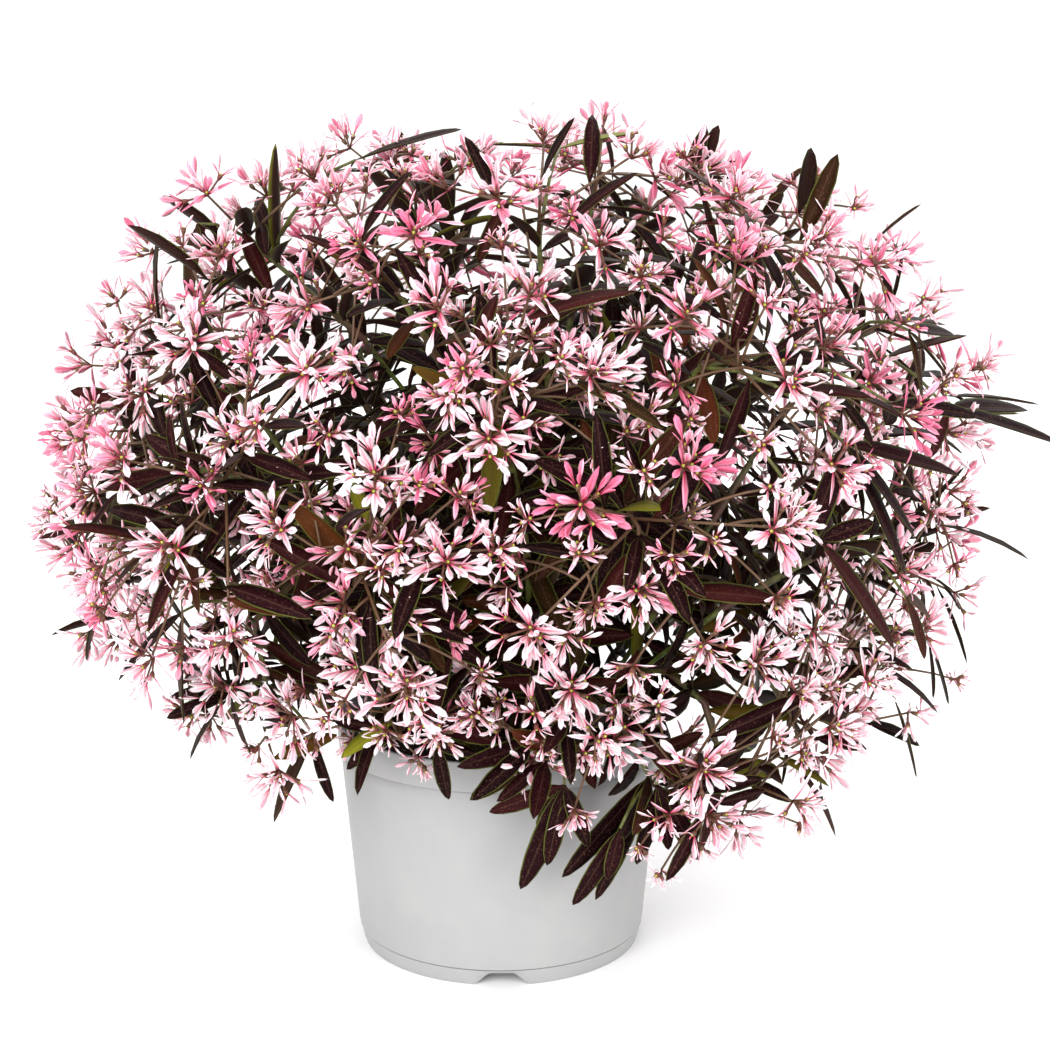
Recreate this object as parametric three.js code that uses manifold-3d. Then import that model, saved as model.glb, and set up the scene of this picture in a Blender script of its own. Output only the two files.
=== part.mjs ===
// A euphorbia in flower, standing in soil in a 15 cm nursery pot.
// Millimetres, +Z up. The origin is the middle of the model's footprint, on the surface it stands on.
import * as THREE from "three";
import Module from "manifold-3d";

const wasm = await Module();
wasm.setup();

// Pot
const POT_HEIGHT = 105;
const RIM_RADIUS = 75;
const RIM_BAND_RADIUS = 74.1;
const RIM_BAND_HEIGHT = 13;
const RIM_STEP = 0.7;
const WALL_FOOT_RADIUS = 65.7;
const WALL_THICKNESS = 1.8;
const FOOT_RADIUS = 63.4;
const FOOT_HEIGHT = 7.6;
const FOOT_STEP = 0.5;
const FOOT_RING_WIDTH = 3;
const FLOOR_UNDERSIDE = 6.2;
const FLOOR_TOP = 8.4;
const POT_SEGMENTS = 36;
const NOTCH_COUNT = 3;
const NOTCH_HEIGHT = 5.6;
const NOTCH_DEPTH = 10;
const NOTCH_WIDTH_BELOW = 24;
const NOTCH_WIDTH_ABOVE = 11;
const CUT_MARGIN = 0.01;
const DRAIN_COUNT = 6;
const DRAIN_RADIUS = 4;
const DRAIN_CIRCLE = 48;

// Soil
const SOIL_TOP = 88;
const SEAT_GAP = 0.3;
const STEM_DEPTH = 18;
const HOLE_SIDES = 6;
const HOLE_RADIUS = 3.1;

// The mound: the shell on which the flowers lie
const MOUND_CENTRE = new THREE.Vector3(13, 0, 213);
const MOUND_RADIUS_X = 209;
const MOUND_RADIUS_Y = 186;
const MOUND_RISE = 156;
const MOUND_DROP = 145;
const LOWEST_ANGLE = THREE.MathUtils.degToRad(137);
const STEM_CIRCLE = 38;
const ARCH_REACH = 0.33;
const ARCH_RISE = 0.6;
const ARCH_LIFT = 75;

// Stems
const STEM_COUNT = 12;
const SPRAY_COUNT = 44;
const STEM_RADIUS = 2.3;
const TWIG_RADIUS = 1.4;
const STEM_SIDES = 3;
const TWIG_ROOT_RADIUS = 1.1;
const FORKS = [0.2, 0.33, 0.46];
const STEM_END = 0.88;
const PATH_STEP = 0.18;
const SPOT_JITTER = 0.2;
const SPOT_EASE = 1.7;
const PULL_POWER = 1.3;
const SPOT_LIMIT = 1.05;
const STEM_FOOT_RISE = 2;
const CORNER_TOLERANCE = 1e-9;
const TUBE_SIDEWAYS = new THREE.Vector3(0.31, 0.95, 0);

// Sprays of flowers
const BLOOM_COUNT = 184;
const BLOOM_REACH = 18;
const LEAST_BLOOM_REACH = 9;
const BLOOM_JITTER = 0.14;
const BLOOM_TRIES = 6;
const BLOOM_TURN = 0.4;
const BLOOM_SHRINK = 0.93;
const BLOOM_GAP = 0.5;
const BLOOM_POT_MARGIN = 19;
const BLOOM_LAYER = 1;
const BLOOM_LAYER_SPREAD = 0.06;
const STALK_LENGTH = 14;
const STALK_RADIUS = 1.3;
const STALK_TURN = 0.7;
const FIRST_PEDICEL = 0.2;
const PEDICEL_SPREAD = 0.75;
const PEDICEL_RADIUS = 0.95;
const PEDICEL_ROOT_RADIUS = 0.35;
const PETAL_COUNT = 5;
const PETAL_HALF_WIDTH = 2.9;
const PETAL_SHOULDER = 0.86;
const PETAL_TIP_SKEW = 0.4;
const PETAL_BALL_RADIUS = 2.3;
const NOTCH_RADIUS = 2.6;
const CUP_SLOPE = 0.42;
const BLOOM_HALF_DEPTH = 1.9;
const BLOOM_SIDEWAYS = new THREE.Vector3(0.6, 0.8, 0.1);

// Leaves
const LEAF_LENGTH_LEAST = 35;
const LEAF_LENGTH_MOST = 49;
const LEAF_HALF_WIDTH_LEAST = 4.3;
const LEAF_HALF_WIDTH_MOST = 4.8;
const LEAF_KEEL = 1.3;
const LEAF_SPACING = 36;
const FIRST_WHORL = 0.86;
const LOWEST_LEAF = 0.44;
const LEAF_ABOVE_FORK = 0.08;
const FULL_WHORLS = 1;
const RISE_STEP = 0.01;
const LEAF_TILT = THREE.MathUtils.degToRad(64);
const LEAF_TILT_SPREAD = 0.7;
const LEAF_SWAY = 0.8;
const LEAST_DROOP = 0.05;
const DROOP_SPREAD = 0.2;
const LEAF_FACE_LIFT = 0.8;
const LEAF_TRIES = 14;
const TRY_SWING = 0.33;
const TRY_LEAN = 0.06;
const LEAF_STAGGER = 0.008;
const LEAF_STATIONS = [0.3, 0.7];
const LEAF_WIDTHS = [1, 0.86];
const INNER_LEAF_STATIONS = [0.42];
const INNER_RISE = 0.84;
const LEAF_CLEARANCE = 0.4;
const LEAF_BALL_RADIUS = 1.6;
const NECK_BALL_RADIUS = 0.9;
const LEAF_BALL_STEP = 0.07;
const LEAF_NECK = 0.1;
const LEAF_WIDE_FROM = 0.25;
const LEAF_WIDE_TO = 0.9;
const LEAF_DRAWS = 100;
const ROOT_SPARED = 7;
const OUTLYING_SPARED = 32;
const OUTLYING_LEAF_MOST = 56;
const OUTLYING_TRIES = 16;
const OUTLYING_SWING = 5;
const POT_CLEARANCE = 3;
const FLOOR_CLEARANCE = 12;

// Sprays that stand out of the mound or hang over the rim: where each one's middle is
const OUTLYING_SPRAYS = [
  [-192, -10, 192],
  [-186, 20, 236],
  [-160, -15, 277],
  [-180, 10, 158],
  [-126, 0, 336],
  [137, 0, 335],
  [168, -20, 296],
  [214, 0, 262],
  [206, -15, 196],
  [204, 10, 160],
  [186, -10, 130],
  [137, -15, 84],
  [104, -62, 72],
  [72, -88, 78],
  [26, -96, 104],
  [-38, -92, 112],
  [-98, -40, 100],
];
// Leaves that stand out of the mound or hang before the pot: where each one's tip is
const OUTLYING_LEAVES = [
  [-105, -10, 366],
  [246, 0, 236],
  [240, -20, 220],
  [209, -30, 214],
  [-168, -20, 132],
  [-146, -30, 122],
  [-99, -45, 66],
  [-23, -95, 82],
  [37, -97, 48],
  [9, -98, 57],
  [22, -99, 60],
  [48, -97, 78],
  [2, -97, 82],
  [98, -78, 62],
  [84, -96, 56],
];

const SEED = 8;
const GOLDEN_ANGLE = Math.PI * (3 - Math.sqrt(5));
const UP = new THREE.Vector3(0, 0, 1);

// Draws between 0 and 1, the same ones on every run.
function drawsFrom(seed) {
  let state = seed;
  return () => {
    state = (state * 48271) % 2147483647;
    return state / 2147483647;
  };
}

function clamp01(value) {
  return Math.min(1, Math.max(0, value));
}

function lerp(from, to, share) {
  return from + (to - from) * share;
}

// Spots spread evenly over a unit disc, as seeds are on a sunflower's head.
function spreadSpots(count, jitter, draw) {
  const spots = [];
  for (let i = 0; i < count; i++) {
    const radius = Math.sqrt((i + 0.5) / count);
    const turn = i * GOLDEN_ANGLE;
    const wander = jitter / Math.sqrt(count);
    const x = radius * Math.cos(turn) + wander * (2 * draw() - 1);
    const y = radius * Math.sin(turn) + wander * (2 * draw() - 1);
    spots.push(new THREE.Vector2(x, y));
  }
  return spots;
}

// The plant's growth: rise 0 is in the soil and rise 1 on the mound's shell, and no two paths of
// fixed spot ever meet.
function grow(spot, rise) {
  const radius = Math.min(spot.length(), SPOT_LIMIT);
  const across = radius > 0 ? spot.clone().normalize() : new THREE.Vector2(1, 0);
  const angle = Math.acos(Math.max(-1, 1 - radius * radius * (1 - Math.cos(LOWEST_ANGLE))));
  const level = Math.cos(angle);
  const shell = new THREE.Vector3(
    MOUND_CENTRE.x + MOUND_RADIUS_X * Math.sin(angle) * across.x,
    MOUND_CENTRE.y + MOUND_RADIUS_Y * Math.sin(angle) * across.y,
    MOUND_CENTRE.z + (level > 0 ? MOUND_RISE : MOUND_DROP) * level,
  );
  const foot = new THREE.Vector3(STEM_CIRCLE * spot.x, STEM_CIRCLE * spot.y, SOIL_TOP + STEM_FOOT_RISE);
  const arch = foot.clone().lerp(shell, ARCH_REACH);
  const lift = ARCH_LIFT * (angle / LOWEST_ANGLE) ** 2;
  arch.z = foot.z + ARCH_RISE * (shell.z - foot.z) + lift;
  const fall = 1 - rise;
  return foot
    .multiplyScalar(fall * fall)
    .addScaledVector(arch, 2 * fall * rise)
    .addScaledVector(shell, rise * rise);
}

// The spot whose path ends nearest to a place.
function spotUnder(place) {
  const x = (place.x - MOUND_CENTRE.x) / MOUND_RADIUS_X;
  const y = (place.y - MOUND_CENTRE.y) / MOUND_RADIUS_Y;
  const height = place.z - MOUND_CENTRE.z;
  const level = height / (height > 0 ? MOUND_RISE : MOUND_DROP);
  const angle = Math.min(Math.atan2(Math.hypot(x, y), level), LOWEST_ANGLE);
  const radius = Math.sqrt((1 - Math.cos(angle)) / (1 - Math.cos(LOWEST_ANGLE)));
  return new THREE.Vector2(x, y).setLength(radius);
}

function nearestIndex(spot, spots) {
  let best = 0;
  spots.forEach((other, i) => {
    if (spot.distanceTo(other) < spot.distanceTo(spots[best])) best = i;
  });
  return best;
}

// Stems, forked
// A twig runs from its fork, or from the soil, to the foot of its spray.
function layOutTwigs() {
  const draw = drawsFrom(SEED);
  const stemSpots = spreadSpots(STEM_COUNT, SPOT_JITTER, draw);
  const spraySpots = spreadSpots(SPRAY_COUNT, SPOT_JITTER, draw);
  const twigs = spraySpots.map((spot) => ({ spot, pull: new THREE.Vector3(), placed: false }));
  for (const place of OUTLYING_SPRAYS) {
    const target = new THREE.Vector3(...place);
    const spot = spotUnder(target);
    const free = twigs.filter((twig) => !twig.placed);
    const twig = free[nearestIndex(spot, free.map((t) => t.spot))];
    twig.spot = spot;
    twig.pull = target.sub(grow(spot, 1));
    twig.placed = true;
  }
  for (const twig of twigs) twig.stem = nearestIndex(twig.spot, stemSpots);
  stemSpots.forEach((stemSpot, stem) => {
    const own = twigs.filter((twig) => twig.stem === stem);
    own.sort((a, b) => a.spot.distanceTo(stemSpot) - b.spot.distanceTo(stemSpot));
    own.forEach((twig, order) => {
      twig.leader = order === 0 ? null : own[0];
      twig.fork = order === 0 ? 0 : FORKS[(order - 1) % FORKS.length];
      twig.from = order === 0 ? stemSpot : spotOn(own[0], twig.fork);
    });
  });
  return twigs;
}

function spotOn(twig, rise) {
  const share = clamp01((rise - twig.fork) / (1 - twig.fork));
  return twig.from.clone().lerp(twig.spot, 1 - (1 - share) ** SPOT_EASE);
}

function pointOn(twig, rise, spot = spotOn(twig, rise)) {
  const share = clamp01((rise - twig.fork) / (1 - twig.fork));
  const point = grow(spot, rise).addScaledVector(twig.pull, share ** PULL_POWER);
  if (twig.leader) {
    const carried = (twig.fork - twig.leader.fork) / (1 - twig.leader.fork);
    point.addScaledVector(twig.leader.pull, carried ** PULL_POWER * (1 - share));
  }
  return point;
}

function directionOn(twig, rise) {
  const ahead = pointOn(twig, rise + RISE_STEP);
  return ahead.sub(pointOn(twig, rise - RISE_STEP)).normalize();
}

// The rises at which a twig's tube has a corner. Other twigs fork from a leader's corners.
function cornersOf(twig) {
  const corners = twig.leader ? [twig.fork] : [0, ...FORKS];
  const last = corners.at(-1);
  const steps = Math.round((STEM_END - last) / PATH_STEP);
  for (let i = 1; i <= steps; i++) corners.push(lerp(last, STEM_END, i / steps));
  return corners;
}

// A place on the middle line of a twig's tube, which is straight between its corners.
function tubePoint(twig, rise) {
  const corners = cornersOf(twig);
  const upper = Math.max(1, corners.findIndex((corner) => corner >= rise - CORNER_TOLERANCE));
  const share = (rise - corners[upper - 1]) / (corners[upper] - corners[upper - 1]);
  return pointOn(twig, corners[upper - 1]).lerp(pointOn(twig, corners[upper]), share);
}

function radiusOn(twig, rise) {
  return lerp(STEM_RADIUS, TWIG_RADIUS, clamp01(rise / STEM_END));
}

// Blooms
// Each belongs to the spray whose spot is nearest, and is as wide as its neighbours let it be.
function layOutBlooms(twigs) {
  const draw = drawsFrom(SEED + 1);
  const spraySpots = twigs.map((twig) => twig.spot);
  const blooms = spreadSpots(BLOOM_COUNT, BLOOM_JITTER, draw).map((spot) => {
    const spray = nearestIndex(spot, spraySpots);
    const twig = twigs[spray];
    const rise = BLOOM_LAYER + BLOOM_LAYER_SPREAD * (2 * draw() - 1);
    const centre = keepOffPot(pointOn(twig, rise, spot), BLOOM_POT_MARGIN);
    const root = pointOn(twig, STEM_END);
    const outward = centre.clone().sub(MOUND_CENTRE).normalize();
    const axis = centre.clone().sub(root).normalize().add(outward).normalize();
    return { spray, centre, axis, spin: draw() * Math.PI * 2 };
  });
  const apart = (a, b) => a.centre.distanceTo(b.centre);
  const kept = [];
  for (const bloom of blooms) {
    const nearest = Math.min(...kept.map((other) => apart(other, bloom)));
    if (nearest / 2 - BLOOM_GAP > LEAST_BLOOM_REACH) kept.push(bloom);
  }
  for (const bloom of kept) {
    const nearest = Math.min(...kept.filter((b) => b !== bloom).map((b) => apart(b, bloom)));
    bloom.reach = Math.min(BLOOM_REACH, nearest / 2 - BLOOM_GAP);
  }
  return kept;
}

// Near the pot a place is moved outwards, so that nothing is laid through the wall.
function keepOffPot(place, margin) {
  const radius = Math.hypot(place.x, place.y);
  const least = RIM_RADIUS + margin;
  if (place.z > POT_HEIGHT + margin || radius > least) return place;
  const grown = least / radius;
  return new THREE.Vector3(place.x * grown, place.y * grown, place.z);
}

// Room taken so far, as balls in a grid, so that no leaf is laid through another piece.
const GRID = 12;
const BALL_SPACING = 1.6;
const room = new Map();

function gridKey(x, y, z) {
  return x + "," + y + "," + z;
}

function takeRoom(balls) {
  for (const ball of balls) {
    const cell = ball.centre.clone().divideScalar(GRID).floor();
    const key = gridKey(cell.x, cell.y, cell.z);
    if (!room.has(key)) room.set(key, []);
    room.get(key).push(ball);
  }
}

function isFree(balls, root, spared) {
  for (const ball of balls) {
    const { x: atX, y: atY, z: atZ } = ball.centre;
    const overPot = Math.hypot(atX, atY) < RIM_RADIUS + POT_CLEARANCE;
    if (atZ < (overPot ? POT_HEIGHT + POT_CLEARANCE : FLOOR_CLEARANCE)) return false;
    const cell = ball.centre.clone().divideScalar(GRID).floor();
    for (let x = cell.x - 1; x <= cell.x + 1; x++)
      for (let y = cell.y - 1; y <= cell.y + 1; y++)
        for (let z = cell.z - 1; z <= cell.z + 1; z++)
          for (const other of room.get(gridKey(x, y, z)) || []) {
            const nearRoot = other.centre.distanceTo(root) < spared;
            if (nearRoot && other.owner === ball.owner) continue;
            const reach = other.radius + ball.radius + LEAF_CLEARANCE;
            if (other.centre.distanceTo(ball.centre) < reach) return false;
          }
  }
  return true;
}

function ballsAlong(from, to, radius, owner) {
  const length = from.distanceTo(to);
  const count = Math.max(1, Math.ceil(length / (BALL_SPACING * radius)));
  const balls = [];
  for (let i = 0; i <= count; i++)
    balls.push({ centre: from.clone().lerp(to, i / count), radius, owner });
  return balls;
}

// Leaves
// A leaf's middle line and the way its width lies, at a share of its length from the root.
function leafPoint(leaf, share) {
  return leaf.root
    .clone()
    .addScaledVector(leaf.heading, leaf.length * share)
    .addScaledVector(leaf.bend, leaf.length * share * share);
}

function leafSide(leaf, share) {
  const tangent = leaf.heading.clone().addScaledVector(leaf.bend, 2 * share);
  return tangent.cross(leaf.face).normalize();
}

function leafBalls(leaf) {
  const balls = [];
  for (let along = LEAF_BALL_STEP; along <= 1; along += LEAF_BALL_STEP) {
    const middle = leafPoint(leaf, along);
    const side = leafSide(leaf, along);
    const narrow = along < LEAF_WIDE_FROM || along > LEAF_WIDE_TO;
    const half = narrow ? 0 : leaf.halfWidth - LEAF_BALL_RADIUS;
    for (const across of half ? [-half, 0, half] : [0]) {
      const centre = middle.clone().addScaledVector(side, across);
      const radius = along < LEAF_NECK ? NECK_BALL_RADIUS : LEAF_BALL_RADIUS;
      balls.push({ centre, radius, owner: leaf.owner });
    }
  }
  return balls;
}

function makeLeaf(root, heading, length, halfWidth, droop, owner) {
  const outward = root.clone().sub(MOUND_CENTRE).normalize().addScaledVector(UP, LEAF_FACE_LIFT);
  const face = outward.addScaledVector(heading, -outward.dot(heading)).normalize();
  const bend = face.clone().multiplyScalar(-droop);
  return { root, heading, length, halfWidth, face, bend, owner };
}

// Each outlying leaf grows from the twig that passes nearest to where its tip is. Where something is
// in its way, its tip goes a little to one side.
function layOutOutlyingLeaves(twigs) {
  const laid = [];
  for (const place of OUTLYING_LEAVES) {
    const tip = new THREE.Vector3(...place);
    let found = { length: Infinity };
    for (const twig of twigs)
      for (let rise = LOWEST_LEAF; rise <= FIRST_WHORL; rise += RISE_STEP) {
        const root = tubePoint(twig, rise);
        const length = root.distanceTo(tip);
        if (length < found.length) found = { root, length, owner: twig.stem };
      }
    const length = Math.min(found.length, OUTLYING_LEAF_MOST);
    for (let attempt = 0; attempt < OUTLYING_TRIES; attempt++) {
      const turn = attempt * GOLDEN_ANGLE;
      const aside = new THREE.Vector3(Math.cos(turn), 0.5 * Math.sin(turn), Math.sin(turn));
      const aim = tip.clone().addScaledVector(aside, OUTLYING_SWING * Math.sqrt(attempt));
      const heading = aim.sub(found.root).normalize();
      const leaf = makeLeaf(found.root, heading, length, LEAF_HALF_WIDTH_MOST, 0, found.owner);
      if (!isFree(leafBalls(leaf), leaf.root, OUTLYING_SPARED)) continue;
      laid.push(leaf);
      takeRoom(leafBalls(leaf));
      break;
    }
  }
  return laid;
}

function layOutLeaves(twigs) {
  const leaves = [];
  twigs.forEach((twig, index) => {
    const draw = drawsFrom(SEED + LEAF_DRAWS + index);
    let whorl = 0;
    let travelled = LEAF_SPACING;
    let last = pointOn(twig, STEM_END);
    const lowest = Math.max(LOWEST_LEAF, twig.fork + LEAF_ABOVE_FORK);
    for (let rise = FIRST_WHORL; rise > lowest; rise -= RISE_STEP) {
      const here = pointOn(twig, rise);
      travelled += here.distanceTo(last);
      last = here;
      if (travelled < LEAF_SPACING) continue;
      travelled = 0;
      whorl += 1;
      const along = directionOn(twig, rise);
      const first = new THREE.Vector3().crossVectors(along, UP).normalize();
      const members = whorl > FULL_WHORLS ? 2 : 3;
      for (let member = 0; member < members; member++) {
        const root = tubePoint(twig, rise - LEAF_STAGGER * member);
        const size = draw();
        const length = lerp(LEAF_LENGTH_LEAST, LEAF_LENGTH_MOST, size);
        const halfWidth = lerp(LEAF_HALF_WIDTH_LEAST, LEAF_HALF_WIDTH_MOST, size);
        const turn = whorl * (Math.PI / 2) + (member * 2 * Math.PI) / members;
        const start = turn + LEAF_SWAY * (draw() - 0.5);
        const tilt = LEAF_TILT + LEAF_TILT_SPREAD * (draw() - 0.5);
        const droop = LEAST_DROOP + DROOP_SPREAD * draw();
        for (let attempt = 0; attempt < LEAF_TRIES; attempt++) {
          const swing = (attempt % 2 ? -1 : 1) * Math.ceil(attempt / 2) * TRY_SWING;
          const lean = tilt * (1 - TRY_LEAN * attempt);
          const aside = first.clone().applyAxisAngle(along, start + swing);
          const heading = along.clone().multiplyScalar(Math.cos(lean));
          heading.addScaledVector(aside, Math.sin(lean)).normalize();
          const leaf = makeLeaf(root, heading, length, halfWidth, droop, twig.stem);
          if (!isFree(leafBalls(leaf), leaf.root, ROOT_SPARED)) continue;
          leaf.inner = rise < INNER_RISE;
          leaves.push(leaf);
          takeRoom(leafBalls(leaf));
          break;
        }
      }
    }
  });
  return leaves;
}

// Solids
function solidFromPoints(points, triangles) {
  const vertProperties = new Float32Array(points.flatMap((p) => [p.x, p.y, p.z]));
  const triVerts = new Uint32Array(triangles.flat());
  return new wasm.Manifold(new wasm.Mesh({ numProp: 3, vertProperties, triVerts }));
}

// A closed skin over rings of points, with a flat cap or a corner point at each end.
function solidFromRings(rings, root, tip) {
  const sides = rings[0].length;
  const points = rings.flat();
  const triangles = [];
  if (root) {
    points.push(root);
    for (let k = 0; k < sides; k++) triangles.push([(k + 1) % sides, k, points.length - 1]);
  } else {
    for (let k = 1; k < sides - 1; k++) triangles.push([0, k + 1, k]);
  }
  for (let i = 0; i + 1 < rings.length; i++)
    for (let k = 0; k < sides; k++) {
      const next = (k + 1) % sides;
      const [a, b] = [i * sides + k, i * sides + next];
      const [c, d] = [a + sides, b + sides];
      triangles.push([a, b, d], [a, d, c]);
    }
  const end = (rings.length - 1) * sides;
  if (tip) {
    points.push(tip);
    for (let k = 0; k < sides; k++)
      triangles.push([end + k, end + ((k + 1) % sides), points.length - 1]);
  } else {
    for (let k = 1; k < sides - 1; k++) triangles.push([end, end + k, end + k + 1]);
  }
  return solidFromPoints(points, triangles);
}

function tube(path, radii, sides) {
  const normal = TUBE_SIDEWAYS.clone();
  const rings = path.map((point, i) => {
    const before = path[Math.max(0, i - 1)];
    const after = path[Math.min(path.length - 1, i + 1)];
    const along = after.clone().sub(before).normalize();
    normal.addScaledVector(along, -normal.dot(along)).normalize();
    const across = new THREE.Vector3().crossVectors(along, normal);
    const ring = [];
    for (let k = 0; k < sides; k++) {
      const turn = (k / sides) * Math.PI * 2;
      const corner = point.clone().addScaledVector(normal, radii[i] * Math.cos(turn));
      ring.push(corner.addScaledVector(across, radii[i] * Math.sin(turn)));
    }
    return ring;
  });
  return solidFromRings(rings, null, null);
}

// A blade with a flat upper face and a keel below, widest at its middle.
function leafSolid(leaf) {
  const stations = leaf.inner ? INNER_LEAF_STATIONS : LEAF_STATIONS;
  const rings = stations.map((share, i) => {
    const middle = leafPoint(leaf, share);
    const side = leafSide(leaf, share);
    const half = leaf.halfWidth * LEAF_WIDTHS[i];
    const keel = middle.clone().addScaledVector(leaf.face, -LEAF_KEEL);
    const right = middle.clone().addScaledVector(side, half);
    const left = middle.clone().addScaledVector(side, -half);
    return [right, keel, left];
  });
  return solidFromRings(rings, leaf.root, leafPoint(leaf, 1));
}

// A cupped star of petals, thick in its middle, on a slim pedicel that ends at the path's last point.
function bloomSolid({ bloom, path, radii, seat }) {
  const { first, second } = bloomFrame(bloom);
  const at = (turn, radius, height) =>
    bloom.centre
      .clone()
      .addScaledVector(first, radius * Math.cos(turn))
      .addScaledVector(second, radius * Math.sin(turn))
      .addScaledVector(bloom.axis, height + radius * CUP_SLOPE);
  const reach = bloom.reach / Math.hypot(1, CUP_SLOPE);
  const half = Math.atan(PETAL_HALF_WIDTH / (PETAL_SHOULDER * reach));
  const step = (Math.PI * 2) / PETAL_COUNT;
  const rim = [];
  for (let petal = 0; petal < PETAL_COUNT; petal++) {
    const turn = bloom.spin + step * petal;
    rim.push(at(turn - step / 2, NOTCH_RADIUS, 0));
    rim.push(at(turn - half, PETAL_SHOULDER * reach, 0));
    rim.push(at(turn + half * PETAL_TIP_SKEW, reach, 0));
  }
  const count = rim.length;
  const points = [...rim, bloom.centre.clone().addScaledVector(bloom.axis, BLOOM_HALF_DEPTH)];
  const triangles = rim.map((_, k) => [count, k, (k + 1) % count]);
  const ringStart = points.length;
  const perCorner = count / 3;
  const base = bloom.centre.clone().addScaledVector(bloom.axis, -BLOOM_HALF_DEPTH);
  const spokes = [0, 1, 2].map((j) => at(bloom.spin + ((j + 0.5) * 2 * Math.PI) / 3, 1, 0));
  const toRim = spokes.map((spoke) => spoke.sub(bloom.centre));
  for (const spoke of toRim) spoke.addScaledVector(bloom.axis, -spoke.dot(bloom.axis)).normalize();
  for (const spoke of toRim) points.push(base.clone().addScaledVector(spoke, radii[0]));
  for (let k = 0; k < count; k++) {
    const corner = Math.floor(k / perCorner);
    const next = (k + 1) % count;
    triangles.push([ringStart + corner, next, k]);
    if ((k + 1) % perCorner === 0)
      triangles.push([next, ringStart + corner, ringStart + ((corner + 1) % 3)]);
  }
  let above = base;
  let spoke = toRim[0];
  path.forEach((place, i) => {
    const out = above.clone().sub(place).normalize();
    const below = path[i + 1];
    if (below) out.add(place.clone().sub(below).normalize()).normalize();
    else if (seat) out.copy(seat);
    spoke = spoke.clone().addScaledVector(out, -spoke.dot(out)).normalize();
    const upper = ringStart + 3 * i;
    for (let j = 0; j < 3; j++) {
      const corner = spoke.clone().applyAxisAngle(out, (j * 2 * Math.PI) / 3);
      points.push(place.clone().addScaledVector(corner, radii[i + 1]));
      const next = (j + 1) % 3;
      triangles.push([upper + next, upper + j, upper + 3 + j]);
      triangles.push([upper + next, upper + 3 + j, upper + 3 + next]);
    }
    above = place;
  });
  const foot = points.length - 3;
  triangles.push([foot + 2, foot + 1, foot]);
  return solidFromPoints(points, triangles);
}

function bloomFrame(bloom) {
  const first = BLOOM_SIDEWAYS.clone().cross(bloom.axis).normalize();
  const second = new THREE.Vector3().crossVectors(bloom.axis, first);
  return { first, second };
}

// All of a node's solids fused in one, without any scrap that misses the rest.
function fuse(solids) {
  const bodies = wasm.Manifold.union(solids).decompose();
  return bodies.reduce((a, b) => (b.volume() > a.volume() ? b : a));
}

// A profile of [radius, height] pairs, closed on itself or ending on the axis, turned round the pot.
function turned(profile, segments) {
  const points = profile.map(([radius, height]) => new THREE.Vector2(radius, height));
  const lathe = new THREE.LatheGeometry(points, segments);
  lathe.rotateX(Math.PI / 2);
  return solidFromGeometry(lathe);
}

function solidFromGeometry(geometry) {
  const position = geometry.getAttribute("position");
  const seen = new Map();
  const points = [];
  const merged = [];
  for (let i = 0; i < position.count; i++) {
    const point = new THREE.Vector3().fromBufferAttribute(position, i);
    const key = point.toArray().map((v) => Math.round(v * 1e4)).join();
    if (!seen.has(key)) {
      seen.set(key, points.length);
      points.push(point);
    }
    merged.push(seen.get(key));
  }
  const order = geometry.index ? [...geometry.index.array] : position.array.map((_, i) => i);
  const triangles = [];
  for (let i = 0; i < order.length; i += 3) {
    const [a, b, c] = [merged[order[i]], merged[order[i + 1]], merged[order[i + 2]]];
    if (a !== b && b !== c && c !== a) triangles.push([a, b, c]);
  }
  const solid = solidFromPoints(points, triangles);
  if (solid.volume() > 0) return solid;
  return solidFromPoints(points, triangles.map(([a, b, c]) => [a, c, b]));
}

function potSolid() {
  const bandFoot = POT_HEIGHT - RIM_BAND_HEIGHT;
  const outside = [
    [FOOT_RADIUS - FOOT_RING_WIDTH, 0],
    [FOOT_RADIUS, 0],
    [WALL_FOOT_RADIUS - FOOT_STEP, FOOT_HEIGHT],
    [WALL_FOOT_RADIUS, FOOT_HEIGHT + FOOT_STEP],
    [RIM_BAND_RADIUS - RIM_STEP, bandFoot - RIM_STEP],
    [RIM_BAND_RADIUS, bandFoot],
    [RIM_RADIUS, POT_HEIGHT],
  ];
  const inside = [
    [RIM_RADIUS - WALL_THICKNESS, POT_HEIGHT],
    [WALL_FOOT_RADIUS - WALL_THICKNESS, FLOOR_TOP],
    [0, FLOOR_TOP],
  ];
  const under = [
    [0, FLOOR_UNDERSIDE],
    [FOOT_RADIUS - FOOT_RING_WIDTH, FLOOR_UNDERSIDE],
    [FOOT_RADIUS - FOOT_RING_WIDTH, 0],
  ];
  let pot = turned([...outside, ...inside, ...under], POT_SEGMENTS);
  for (let i = 0; i < NOTCH_COUNT; i++) {
    const turn = -Math.PI / 2 + (i * 2 * Math.PI) / NOTCH_COUNT;
    pot = pot.subtract(notchSolid(turn));
  }
  for (let i = 0; i < DRAIN_COUNT; i++) pot = pot.subtract(drainSolid((i * 2 * Math.PI) / DRAIN_COUNT));
  return pot;
}

function notchSolid(turn) {
  const outline = new THREE.Shape();
  outline.moveTo(-NOTCH_WIDTH_BELOW / 2, -CUT_MARGIN);
  outline.lineTo(NOTCH_WIDTH_BELOW / 2, -CUT_MARGIN);
  outline.lineTo(NOTCH_WIDTH_ABOVE / 2, NOTCH_HEIGHT);
  outline.lineTo(-NOTCH_WIDTH_ABOVE / 2, NOTCH_HEIGHT);
  const notch = new THREE.ExtrudeGeometry(outline, { depth: 2 * NOTCH_DEPTH, bevelEnabled: false });
  notch.rotateX(Math.PI / 2);
  notch.translate(0, FOOT_RADIUS + NOTCH_DEPTH, 0);
  notch.rotateZ(turn - Math.PI / 2);
  return solidFromGeometry(notch);
}

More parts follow.
